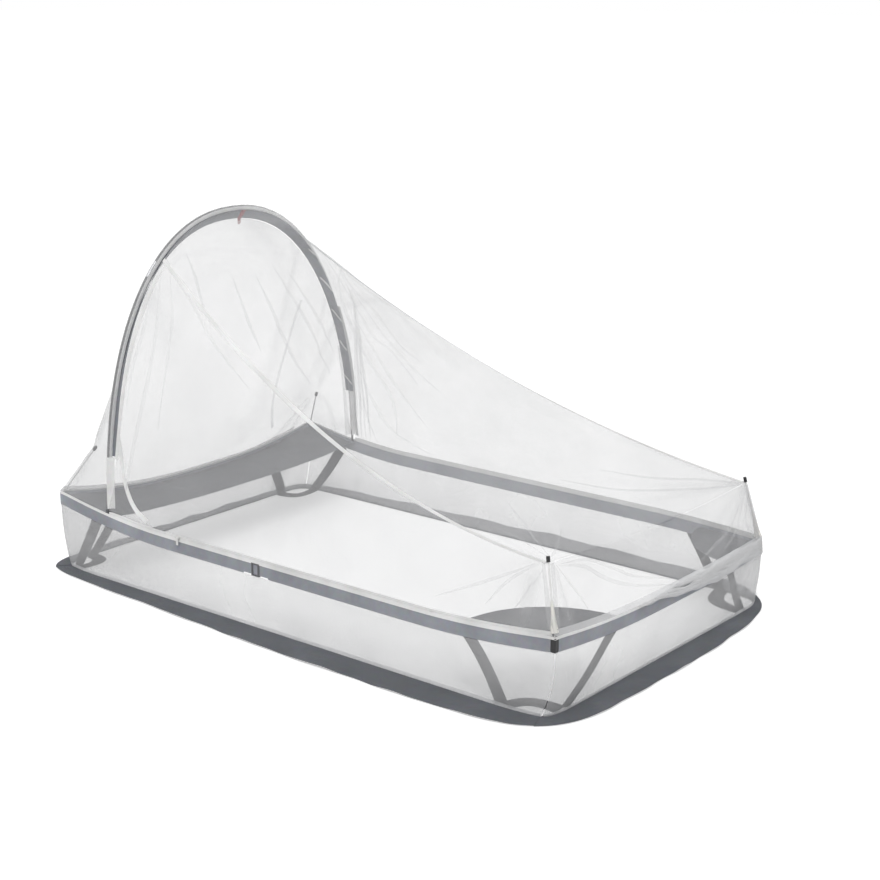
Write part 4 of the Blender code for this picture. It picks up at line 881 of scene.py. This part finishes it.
# Corner straps. Wide grey elastic, sewn behind two bands, goes down the inside of each wall and
# under the corner, and keeps the harness on what it is laid over.
STRAP_THICKNESS = 0.001
STRAP_WIDTH = 0.038
STRAP_FOLD = {"head_near": 120, "foot_near": 120, "foot_far": 120, "head_far": 112}
FLOOR_GAP = 0.0001


def above_floor(piece, thickness):
    """Lifts a sheet's points so that its underside stays off the floor."""
    for vert in piece.data.vertices:
        vert.co.z = max(vert.co.z, thickness / 2 + FLOOR_GAP)


strap_elastic = woven("strap_elastic", shade(BAND_GREY, 0.2), 0.75, 0.0016, 0.0015)
for corner in CORNERS:
    node = f"corner_strap_{corner}"
    skin = cloth_skin(node, 0.0012, math.radians(STRAP_FOLD[corner]))
    strap = refine(skin, f"{node}_elastic")
    above_floor(strap, STRAP_THICKNESS)
    length = round(sheet_area(strap) / STRAP_WIDTH, 2)
    strap_lines = hem_lines(strap, STITCH_INSET, STRAP_THICKNESS / 2)
    for point in (point for line in strap_lines for point in line):
        point.z = max(point.z, STITCH[0])
    sewn_cloth(
        strap, node, STRAP_THICKNESS, strap_elastic, stitching, strap_lines,
        flat=(STRAP_WIDTH, length), held="stretched",
    )


# Skirt. Four strips of heavier dark fabric are sewn to the foot of the walls and lie on the
# floor. Their hems are turned twice, and wave where the strip isn't pulled flat.
SKIRT_GREY = (0.124, 0.134, 0.152, 1)
SKIRT_THICKNESS = 0.0014
SKIRT_SIZES = {
    "near": (0.13, 2.12),
    "foot": (0.12, 1.36),
    "far": (0.13, 2.12),
    "head": (0.08, 1.36),
}
SKIRT_SEAM = {"near": 0.595, "foot": 0.98, "far": 0.595, "head": 0.98}
SKIRT_LOOSE = 0.06
SKIRT_RIPPLE = 0.0035
SKIRT_RISE = 0.6
SKIRT_SHIFT = 0.003
SKIRT_HEM = 0.012
RIPPLE_SIZES = (9.0, 23.0, 51.0)
RIPPLE_TOTAL = 1.8


def ripple(point):
    """Uneven wave, from -1 to 1, at a point: a few sines whose lengths don't fit each other."""
    total = 0.0
    for k, size in enumerate(RIPPLE_SIZES):
        wave = math.sin(size * point.x + 1.7 * k) * math.cos(size * 0.83 * point.y + 0.9 * k)
        total += wave / (k + 1)
    return total / RIPPLE_TOTAL


def capped_area(area, flat):
    """Area of a shape that is cut out of a flat rectangle, never more than the rectangle's."""
    return round(min(area, flat[0] * flat[1]), 3)


skirt_fabric = woven("skirt_fabric", SKIRT_GREY, 0.82, 0.0013, 0.006)
skirt_thread = moulded("skirt_thread", shade(SKIRT_GREY, 1.5), 0.7, 0.2)
skirt_stitching = row_tree("skirt_stitch_row", "stitch", skirt_thread)
for side, flat in SKIRT_SIZES.items():
    node = f"skirt_{side}"
    skirt = refine(cloth_skin(node, 0.0025), f"{node}_cloth")
    axis = 0 if side in ("foot", "head") else 1
    for vert in skirt.data.vertices:
        out = max(abs(vert.co[axis]) - SKIRT_SEAM[side], 0)
        free = min(out / SKIRT_LOOSE, 1.0)
        vert.co.z += SKIRT_RIPPLE * free * (SKIRT_RISE + ripple(vert.co))
        vert.co -= OUTWARD[side] * (SKIRT_SHIFT * free * (1 + ripple(vert.co * 1.7)) / 2)
    above_floor(skirt, SKIRT_THICKNESS)
    both_sides = hem_lines(skirt, SKIRT_HEM, SKIRT_THICKNESS / 2)[:2]
    upper = max(both_sides, key=lambda line: sum(point.z for point in line) / len(line))
    sewn_cloth(
        skirt, node, SKIRT_THICKNESS, skirt_fabric, skirt_stitching, [upper],
        flat=flat, held="laid", rests_on=["floor"], area=capped_area(sheet_area(skirt), flat),
    )


# Fabric of the deck. A strip across the head end, and a rounded gusset in each foot corner, are
# sewn level inside the rim, and spread the pull of the straps.
DECK_THICKNESS = 0.001
DECK_RIPPLE = 0.0009
DECK_SIZES = {
    "head_strip": (0.25, 1.21),
    "foot_gusset_near": (0.35, 0.35),
    "foot_gusset_far": (0.26, 0.26),
}
deck_fabric = woven("deck_fabric", shade(BAND_GREY, 0.34), 0.8, THREAD, 0.01, (1, 2.2, 1))
for node, flat in DECK_SIZES.items():
    deck = refine(cloth_skin(node, 0.0012), f"{node}_cloth")
    area = capped_area(sheet_area(deck), flat)
    for vert in deck.data.vertices:
        vert.co.z += DECK_RIPPLE * ripple(vert.co * 2.3)
    sewn_cloth(
        deck, node, DECK_THICKNESS, deck_fabric, stitching,
        flat=flat, held="stretched", area=area,
    )


# Canopy and walls. Panels of fine white polyester mesh: the roof, two long sides, the foot, the
# head, and four walls down to the floor. The roof hangs from the arch and the rods' caps, and
# creases fan from where they pull it. Pinched folds run where two panels meet at a pull.
NET_SHEET = 0.0004
NET_SIZES = {
    "canopy_roof_net": (1.2, 1.95),
    "canopy_near_net": (0.9, 1.95),
    "canopy_far_net": (0.9, 1.95),
    "canopy_foot_net": (0.3, 1.22),
    "canopy_head_net": (0.85, 1.75),
    "wall_net_near": (0.215, 2.05),
    "wall_net_far": (0.215, 2.05),
    "wall_net_foot": (0.215, 1.21),
    "wall_net_head": (0.225, 1.23),
}
# Pulled points, and for each: how far its creases reach, how many there are, how high and dense,
# and the seed of their directions.
PULLS = [
    ((-0.745, -0.345, 1.03), 0.75, 7, 0.006, 0.16, 3),
    ((-0.745, 0.345, 1.03), 0.95, 13, 0.008, 0.2, 5),
    ((-0.74, 0.5, 0.75), 0.8, 11, 0.007, 0.18, 8),
    ((-0.73, 0.59, 0.3), 0.7, 9, 0.006, 0.16, 11),
    ((0.966, -0.58, 0.447), 0.5, 17, 0.006, 0.2, 13),
    ((0.93, 0.54, 0.4), 0.5, 17, 0.007, 0.24, 17),
    ((-0.874, -0.556, 0.43), 0.4, 9, 0.005, 0.18, 19),
    ((-0.883, 0.519, 0.41), 0.75, 11, 0.007, 0.22, 23),
    ((1.016, -0.604, 0.26), 0.3, 7, 0.004, 0.2, 29),
    ((0.976, 0.567, 0.215), 0.35, 11, 0.006, 0.32, 31),
    ((-0.99, -0.6, 0.27), 0.3, 6, 0.004, 0.2, 37),
]
PULL_AXIS = (0.35, 0.2, 0.9)
PULL_NEAR = 0.05
CREASE_WIDTH = 0.007
CREASE_SPREAD = 0.05
EDGE_FADE = 0.04
# Pinched folds of each panel, in millimetres: width, then the points that the fold runs through.
PLEATS = {
    "canopy_near_net": [
        (11, (-739, -357, 994), (-673, -447, 835), (-653, -508, 685), (-666, -552, 527),
         (-693, -576, 367), (-700, -585, 300)),
        (9, (-733, -413, 921), (-716, -469, 817), (-721, -508, 724), (-718, -544, 600)),
        (7, (-717, -338, 1005), (-631, -415, 868), (-591, -485, 723), (-576, -543, 540)),
        (6, (-727, -336, 1011), (-605, -358, 928), (-449, -403, 809), (-261, -440, 699)),
        (6, (780, -593, 290), (855, -588, 374), (951, -586, 440)),
        (6, (600, -592, 270), (786, -586, 358), (945, -582, 440)),
        (5, (880, -600, 300), (920, -597, 350), (965, -588, 430)),
    ],
    "canopy_head_net": [
        (8, (-787, -200, 1045), (-790, -160, 962), (-791, -135, 883), (-793, -114, 818)),
        (8, (-793, 18, 931), (-802, 71, 824), (-808, 112, 735), (-812, 167, 639)),
        (10, (-793, 134, 915), (-792, 185, 826), (-809, 263, 704), (-836, 364, 565),
         (-869, 482, 452)),
        (8, (-786, 208, 948), (-797, 301, 837), (-808, 388, 728), (-824, 471, 612),
         (-833, 543, 484)),
        (7, (-789, 286, 920), (-798, 380, 808), (-805, 474, 689), (-808, 534, 577)),
    ],
    "canopy_roof_net": [
        (9, (-700, 360, 990), (-427, 211, 917), (-290, 182, 846), (-120, 109, 768),
         (-36, 110, 723)),
        (8, (-700, 300, 1020), (-344, 127, 888), (-187, 48, 803), (-99, 45, 759), (51, -5, 681)),
        (8, (-550, 300, 950), (-400, 120, 910), (-146, -48, 775), (13, -121, 697),
         (111, -188, 646), (208, -293, 589)),
        (7, (-511, 254, 954), (-360, 288, 862), (-218, 383, 761), (-68, 408, 693)),
        (7, (-399, 189, 906), (-196, 98, 810), (-29, 51, 725), (112, 30, 661)),
        (9, (-260, 52, 842), (-90, -25, 746), (52, -94, 676), (209, -162, 609)),
        (7, (-74, -140, 736), (37, -210, 670), (166, -267, 608), (318, -271, 557)),
        (6, (685, -456, 460), (804, -476, 447), (950, -540, 440)),
        (6, (611, -288, 478), (744, -372, 451), (945, -530, 440)),
        (6, (820, -300, 430), (907, -450, 438), (955, -550, 440)),
    ],
    "canopy_foot_net": [
        (8, (972, -545, 430), (972, -404, 386), (984, -246, 298), (1009, 0, 230)),
        (6, (972, -530, 430), (966, -372, 396), (972, -176, 299), (1000, 20, 240)),
        (5, (981, -555, 435), (989, -474, 344), (1005, -424, 270)),
        (9, (945, 520, 390), (952, 482, 342), (967, 430, 277), (992, 306, 244)),
        (9, (945, 525, 380), (957, 493, 324), (975, 493, 262), (986, 535, 220)),
        (7, (948, 481, 358), (960, 405, 298), (980, 266, 265), (994, 173, 248)),
    ],
    "canopy_far_net": [
        (12, (-694, 520, 677), (-732, 570, 475), (-739, 581, 357), (-750, 603, 244)),
        (10, (-688, 519, 678), (-715, 568, 478), (-717, 579, 360), (-734, 603, 242)),
        (9, (-642, 459, 804), (-696, 558, 520), (-695, 576, 384), (-709, 602, 241)),
        (8, (-623, 433, 846), (-681, 548, 562), (-676, 572, 407), (-682, 599, 246)),
        (7, (-678, 487, 759), (-698, 570, 442), (-678, 579, 328), (-649, 601, 236)),
        (9, (-640, 380, 900), (-642, 459, 804), (-701, 543, 598), (-714, 577, 400),
         (-727, 600, 260)),
        (9, (-629, 434, 845), (-677, 527, 641), (-676, 567, 446), (-677, 597, 260)),
        (6, (368, 567, 329), (567, 564, 339), (764, 549, 373), (917, 546, 392)),
        (6, (191, 588, 256), (439, 584, 269), (718, 566, 327), (917, 547, 386)),
    ],
}
PLEAT_STEPS = 28
PLEAT_LIFT = 0.0007
PLEAT_CROWN = 0.0012
PLEAT_SPREAD = 1.5
POINT_ROUND = 0.7
POINT_END = 0.02
CANOPY_MIDDLE = Vector((0, 0, 0.2))


def creases(points, place, reach, count, height, dense, seed):
    """Height and density that a pulled point gives to points of the cloth round it."""
    rng = random.Random(seed)
    away = points - np.array(place)
    far = np.linalg.norm(away, axis=1) + 1e-6
    total = np.zeros(len(points))
    for _ in range(count):
        ray = np.array([rng.gauss(0, 1), rng.gauss(0, 1), rng.gauss(0, 1)])
        ray /= np.linalg.norm(ray)
        plane = np.cross(ray, PULL_AXIS)
        plane /= np.linalg.norm(plane) + 1e-9
        ahead = np.clip(away @ ray / far, 0, 1)
        width = CREASE_WIDTH + CREASE_SPREAD * far * rng.uniform(0.5, 1.2)
        total += np.exp(-((away @ plane / width) ** 2)) * ahead * rng.uniform(0.4, 1.0)
    total *= np.clip(far / PULL_NEAR, 0, 1) * np.clip(1 - far / reach, 0, 1)
    return total * height, total * dense


def crease_net(piece):
    """Moves a panel's points into the creases of its pulls, and writes how gathered it is."""
    mesh = piece.data
    count = len(mesh.vertices)
    points = np.empty(count * 3)
    mesh.vertices.foreach_get("co", points)
    points = points.reshape(-1, 3)
    normals = np.array([vert.normal for vert in mesh.vertices])
    height, dense = np.zeros(count), np.zeros(count)
    for pull in PULLS:
        more, denser = creases(points, *pull)
        height += more
        dense += denser
    edges = {}
    for face in mesh.polygons:
        for key in face.edge_keys:
            edges[key] = edges.get(key, 0) + 1
    rims = {vert for key, used in edges.items() if used == 1 for vert in key}
    tree = KDTree(len(rims))
    for vert in rims:
        tree.insert(mesh.vertices[vert].co, vert)
    tree.balance()
    fade = np.array([min(tree.find(vert.co)[2] / EDGE_FADE, 1.0) for vert in mesh.vertices])
    points += normals * (height * fade)[:, None]
    mesh.vertices.foreach_set("co", points.ravel())
    layer = mesh.attributes.new("gather", "FLOAT", "POINT")
    layer.data.foreach_set("value", np.clip(dense, 0, 1).astype(np.float32))


def surface_of(piece):
    """Surface of a piece, for finding the nearest point on it."""
    bm = bmesh.new()
    bm.from_mesh(piece.data)
    surface = BVHTree.FromBMesh(bm)
    bm.free()
    return surface


def from_millimetres(points):
    """Points of a table, in metres."""
    return [Vector([size / 1000 for size in point]) for point in points]


def smooth_line(knots, count):
    """Even points on a smooth line through a few points."""
    knots = [knots[0] * 2 - knots[1]] + knots + [knots[-1] * 2 - knots[-2]]
    line = []
    for k in range(count + 1):
        place = k / count * (len(knots) - 3)
        j = min(int(place), len(knots) - 4)
        t = place - j
        a, b, c, d = knots[j : j + 4]
        spot = 2 * b + (c - a) * t + (2 * a - 5 * b + 4 * c - d) * t**2
        line.append(0.5 * (spot + (3 * b - a - 3 * c + d) * t**3))
    return line


def ribbon(bm, line, width, surface=None, facing=None, lift=0.0, pointed=0.0, crown=0.0):
    """Flat strip along a line, laid on a surface or facing one way, its ends pointed if asked."""
    places, sides = [], []
    for point in line:
        normal = facing
        if surface:
            point, normal = surface.find_nearest(point)[:2]
            normal = normal if (point - CANOPY_MIDDLE).dot(normal) > 0 else -normal
        places.append(point + normal * lift)
        sides.append(normal)
    rows = []
    for k, point in enumerate(places):
        across = course(places, k).normalized().cross(sides[k]).normalized()
        share = min(max(k / (len(places) - 1), POINT_END), 1 - POINT_END)
        half = width / 2 * (1 - pointed * (1 - math.sin(math.pi * share) ** POINT_ROUND))
        spots = [point + across * half * s + sides[k] * crown * (1 - s * s) for s in (-1, 0, 1)]
        rows.append([bm.verts.new(spot) for spot in spots])
    join_rows(bm, rows)


canopy_net = netting("netting")
wall_net = netting("wall_netting", cover=(0.23, 0.34))
pleat_net = netting("folded_netting", shade(NET_WHITE, 1.1), (0.08, 0.14))
surfaces = {}
for node, flat in NET_SIZES.items():
    is_wall = node.startswith("wall")
    panel = refine(cloth_skin(node, 0.0008), node.replace("_net", "_netting"), 2 if is_wall else 3)
    crease_net(panel)
    surfaces[node] = surface_of(panel)
    area = capped_area(sheet_area(panel), flat)
    thicken(panel, NET_SHEET)
    wear(panel, wall_net if is_wall else canopy_net, node, sharp=80)
    pieces = [panel]
    if node in PLEATS:
        pleats = bmesh.new()
        for width, *points in PLEATS[node]:
            line = smooth_line(from_millimetres(points), PLEAT_STEPS)
            width = width / 1000 * PLEAT_SPREAD
            ribbon(pleats, line, width, surfaces[node], None, PLEAT_LIFT, 1.0, PLEAT_CROWN)
        pleats = new_piece(pleats, node.replace("_net", "_pleats"))
        thicken(pleats, NET_SHEET)
        wear(pleats, pleat_net)
        pieces.append(pleats)
    for piece in pieces:
        if is_wall:
            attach(piece, "harness")
        else:
            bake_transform(piece)


# Tapes of the canopy. White woven tape covers the two seams from the arch to the foot rods, and
# runs down both legs of the arch to the rim. A thinner tape is sewn down the head panel.
TAPE_THICKNESS = 0.001
TAPE_LIFT = 0.0009
TAPE_STEPS = 40
# Tapes beside the arch's legs, in millimetres: panel, width, and the points that each follows.
LEG_TAPES = [
    ("canopy_near_net", 13, (-748, -345, 1014), (-745, -416, 921), (-742, -494, 770),
     (-740, -543, 613), (-742, -568, 484), (-745, -578, 420)),
    ("canopy_near_net", 16, (-742, -566, 490), (-727, -571, 447), (-710, -578, 364),
     (-681, -582, 306), (-640, -591, 269), (-587, -597, 245)),
    ("canopy_far_net", 12, (-748, 500, 760), (-742, 550, 610), (-742, 575, 480), (-745, 590, 350),
     (-755, 600, 250)),
]
HEAD_TAPE = [
    (-801, 362, 799),
    (-814, 331, 710),
    (-828, 295, 604),
    (-842, 270, 506),
    (-864, 267, 399),
    (-930, 327, 307),
]
HEAD_TAPE_WIDTH = 0.013
FOOT_TAPE_WIDTH = {"near": 0.025, "far": 0.02}
FOOT_TAPE_SHIFT = {"near": Vector((0.006, 0.004, 0)), "far": Vector((0, 0, 0))}
FOOT_TAPE_FACING = {"near": Vector((0.8, -0.6, 0)), "far": Vector((1, 0.1, 0))}
FOOT_TAPE_LIFT = 0.0068
FOOT_TAPE_CROWN = -0.002
FOOT_TAPE_TOP = 0.012
FOOT_TAPE_FOOT = 0.022


def strips(name, lines, width, thickness, material, slot, node=None, **laid):
    """Piece of flat cloth along one line or more, and its length; `laid` is for the ribbon."""
    bm = bmesh.new()
    for line in lines:
        ribbon(bm, line, width, **laid)
    piece = new_piece(bm, name)
    length = round(sheet_area(piece) / width, 2)
    thicken(piece, thickness)
    wear(piece, material, node)
    return piece, length


for side in LONG_SIDES:
    node = f"seam_tape_{side}"
    seam = refine(cloth_skin(node, 0.0012), f"{node}_cloth")
    thicken(seam, TAPE_THICKNESS)
    wear(seam, white_tape, node)
    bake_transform(seam)

for k, (node, width, *points) in enumerate(LEG_TAPES):
    line = smooth_line(from_millimetres(points), TAPE_STEPS)
    tape, length = strips(
        f"leg_tape_{k + 1}", [line], width / 1000, TAPE_THICKNESS, white_tape, "white_tape",
        surface=surfaces[node], lift=TAPE_LIFT,
    )
    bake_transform(tape)
    panel = node.replace("_net", "_netting")

top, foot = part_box("arch_belt")[0].z + FOOT_TAPE_TOP, FOOT_NEAR.z + FOOT_TAPE_FOOT
for side, width in FOOT_TAPE_WIDTH.items():
    leg = [p for p in cord_points if foot < p.z < top and (p.y < 0) == (side == "near")]
    tape, length = strips(
        f"foot_tape_{side}", [[p + FOOT_TAPE_SHIFT[side] for p in leg]], width,
        TAPE_THICKNESS, white_tape, "white_tape",
        facing=FOOT_TAPE_FACING[side].normalized(), lift=FOOT_TAPE_LIFT, crown=FOOT_TAPE_CROWN,
    )
    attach(tape, "arch")

sheer_tape = netting("sheer_tape", shade(NET_WHITE, 1.3), (0.16, 0.24))
head_tape, _ = strips(
    "head_tape", [smooth_line(from_millimetres(HEAD_TAPE), TAPE_STEPS)], HEAD_TAPE_WIDTH,
    TAPE_THICKNESS, sheer_tape, "white_tape",
    surface=surfaces["canopy_head_net"], lift=-TAPE_LIFT,
)
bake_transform(head_tape)
flat = (HEAD_TAPE_WIDTH, 0.55)


# Far leg of the arch. A filling strip of the same mesh runs beside it, sewn to the belt, and five
# thin white ties are sewn across the belt there.
LEG_NET_WIDTH = 0.036
LEG_NET_HEIGHTS = (0.245, 0.62)
LEG_NET_SHIFT = Vector((0, -0.012, 0))
LEG_NET_FACING = Vector((1, -0.3, 0))
LEG_NET_LIFT = -0.0075
# Points that each tie follows, in millimetres.
TIES = [
    ((-764, 369, 987), (-758, 394, 963), (-758, 414, 936)),
    ((-775, 436, 875), (-763, 460, 848), (-755, 480, 819)),
    ((-776, 498, 749), (-764, 511, 726), (-752, 524, 702)),
    ((-776, 539, 626), (-767, 545, 607), (-753, 551, 589)),
    ((-784, 567, 491), (-767, 570, 474), (-750, 573, 457)),
]
TIE_WIDTH = 0.005
TIE_STEPS = 12
TIE_LIFT = -0.0012
low, high = LEG_NET_HEIGHTS
strip, length = strips(
    "far_leg_net", [[p + LEG_NET_SHIFT for p in cord_points if low < p.z < high and p.y > 0]],
    LEG_NET_WIDTH, NET_SHEET, netting("leg_netting", cover=(0.2, 0.3)), "netting",
    facing=LEG_NET_FACING.normalized(), lift=LEG_NET_LIFT,
)
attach(strip, "arch")
ties, _ = strips(
    "belt_ties", [smooth_line(from_millimetres(points), TIE_STEPS) for points in TIES],
    TIE_WIDTH, NET_SHEET, white_tape, "white_tape", surface=surface_of(belt), lift=TIE_LIFT,
)
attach(ties, "arch")


# Gores. A narrow piece of the same mesh stands behind each foot rod, where the side panel meets
# the foot panel, and is sewn to both.
GORE_WIDTH = 0.034
GORE_START = 0.12
GORE_STEPS = 20
GORE_DROP = Vector((0, 0, 0.008))
GORE_LIFT = -0.004
GORE_FACING = {"foot_near": Vector((0.7, -0.7, 0)), "foot_far": Vector((0.7, 0.7, 0))}
for corner, out in GORE_FACING.items():
    foot, cap = ROD_FEET[corner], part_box(f"rod_cap_{corner}")
    top = (cap[0] + cap[1]) / 2 - GORE_DROP
    shares = [GORE_START + (1 - GORE_START) * k / GORE_STEPS for k in range(GORE_STEPS + 1)]
    gore, length = strips(
        f"corner_gore_{corner}", [[foot.lerp(top, share) for share in shares]],
        GORE_WIDTH, NET_SHEET, canopy_net, "netting", facing=out.normalized(), lift=GORE_LIFT,
    )
    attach(gore, "harness")


# Hems and gathers. The mesh is turned up twice along the foot and head bands and along the foot
# of the walls. The slack of the foot panel is folded down over the outside of the foot band,
# toward the far corner.
HEM_HEIGHT = 0.018
HEM_STEPS = 60
HEM_LIFT = 0.0006
WALL_HEM = 0.012
WALL_HEM_END = 0.004
WALL_HEM_LIFT = 0.0008
WALL_HEM_LINES = {"near": (0, Vector((0, -0.6, -0.3))), "foot": (1, Vector((0.99, 0, -0.3)))}
GATHERS = 6
GATHER_SEED = 40
GATHER_WIDTH = 0.022
GATHER_STEPS = 70
GATHER_STARTS = (-0.22, 0.12)
GATHER_GROWTH = 0.25
GATHER_OUT = (0.004, 0.0012)
GATHER_DOWN = (0.008, 0.0075)
# How far out the rim's edge lies, and how far along it goes: on its long sides, on its short ones.
RIM_REACH = ((0.56, 1.02), (0.95, 0.612))


def rim_side(side):
    """Top edge of the rim on one side, in order."""
    axis = 0 if side in LONG_SIDES else 1
    out, reach = RIM_REACH[axis]
    spots = [p for p in rim_tops if abs(p[1 - axis]) > out and abs(p[axis]) < reach]
    return sorted((p for p in spots if p.dot(OUTWARD[side]) > 0), key=lambda p: p[axis])


hem_net = netting("hem_netting", shade(NET_WHITE, 1.2), (0.34, 0.44))
for side in ("foot", "head"):
    knots = [p + Vector((0, 0, HEM_HEIGHT / 2)) for p in rim_side(side)[1:-1]]
    hem, _ = strips(
        f"canopy_{side}_hem", [smooth_line(knots, HEM_STEPS)], HEM_HEIGHT, NET_SHEET,
        hem_net, "netting", surface=surfaces[f"canopy_{side}_net"], lift=HEM_LIFT,
    )
    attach(hem, "harness")

folds = []
edge_line = smooth_line(rim_side("foot")[1:-1], GATHER_STEPS)
for k in range(GATHERS):
    start = random.Random(GATHER_SEED + k).uniform(*GATHER_STARTS)
    fold = []
    for p in (p for p in edge_line if p.y > start):
        down = min((p.y - start) / GATHER_GROWTH, 1) * GATHER_DOWN[1] * k
        wave = 0.004 * math.sin(23 * p.y + k) + 0.002 * math.sin(57 * p.y + 2 * k)
        out = GATHER_OUT[0] + GATHER_OUT[1] * k
        fold.append(p + Vector((out, 0, GATHER_DOWN[0] - down + wave)))
    folds.append(fold)
gathers, _ = strips(
    "foot_gathers", folds, GATHER_WIDTH, NET_SHEET, hem_net, "netting",
    facing=OUTWARD["foot"], pointed=0.5, crown=0.003,
)
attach(gathers, "harness")

for side, (axis, below) in WALL_HEM_LINES.items():
    box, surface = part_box(f"wall_net_{side}"), surfaces[f"wall_net_{side}"]
    low, high = box[0][axis] + WALL_HEM_END, box[1][axis] - WALL_HEM_END
    line = []
    for k in range(HEM_STEPS + 1):
        below[axis] = low + (high - low) * k / HEM_STEPS
        line.append(surface.find_nearest(below)[0] + Vector((0, 0, WALL_HEM / 2)))
    hem, _ = strips(
        f"wall_hem_{side}", [line], WALL_HEM, NET_SHEET, hem_net, "netting",
        surface=surface, lift=WALL_HEM_LIFT,
    )
    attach(hem, "harness")
    flat = (WALL_HEM, round(high - low, 2))


# Zips. Along the rim's two long sides, white woven tape with a spun nylon coil closes the mesh
# to the band. A small slider with a swinging pull runs on each coil.
ZIP_HEIGHT = 0.0118
ZIP_TAPE = 0.001
ZIP_END = 0.001
ZIP_IN = 0.0001
ZIP_RAISE = Vector((0, 0, 0.0062))
ZIP_STEPS = 90
COIL_STAND = 0.0012
TOOTH = (0.0007, 0.0012, 0.0004)
TOOTH_PITCH = 0.0024
NYLON_WHITE = (0.72, 0.72, 0.71, 1)
nylon = moulded("zip_nylon", NYLON_WHITE, 0.45)
teeth = row_tree("zip_tooth_row", "tooth", nylon)
for side in LONG_SIDES:
    node = f"zip_tape_{side}"
    low, high = (corner.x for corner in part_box(node))
    knots = [p for p in rim_side(side) if low < p.x < high]
    knots.insert(0, Vector((low + ZIP_END, *knots[0][1:])))
    knots.append(Vector((high - ZIP_END, *knots[-1][1:])))
    middle = smooth_line([p - OUTWARD[side] * ZIP_IN + ZIP_RAISE for p in knots], ZIP_STEPS)
    tape, _ = strips(
        f"zip_{side}_tape", [middle], ZIP_HEIGHT, ZIP_TAPE, white_tape, "white_tape", node,
        facing=OUTWARD[side],
    )
    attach(tape, "harness")
    outer = [p + OUTWARD[side] * COIL_STAND for p in middle]
    name = f"zip_{side}_coil"
    coil = row_of(name, [outer], teeth, TOOTH_PITCH, TOOTH, "harness")
    finish_node(f"zip_slider_{side}", nylon)
    finish_node(f"zip_pull_{side}", nylon)
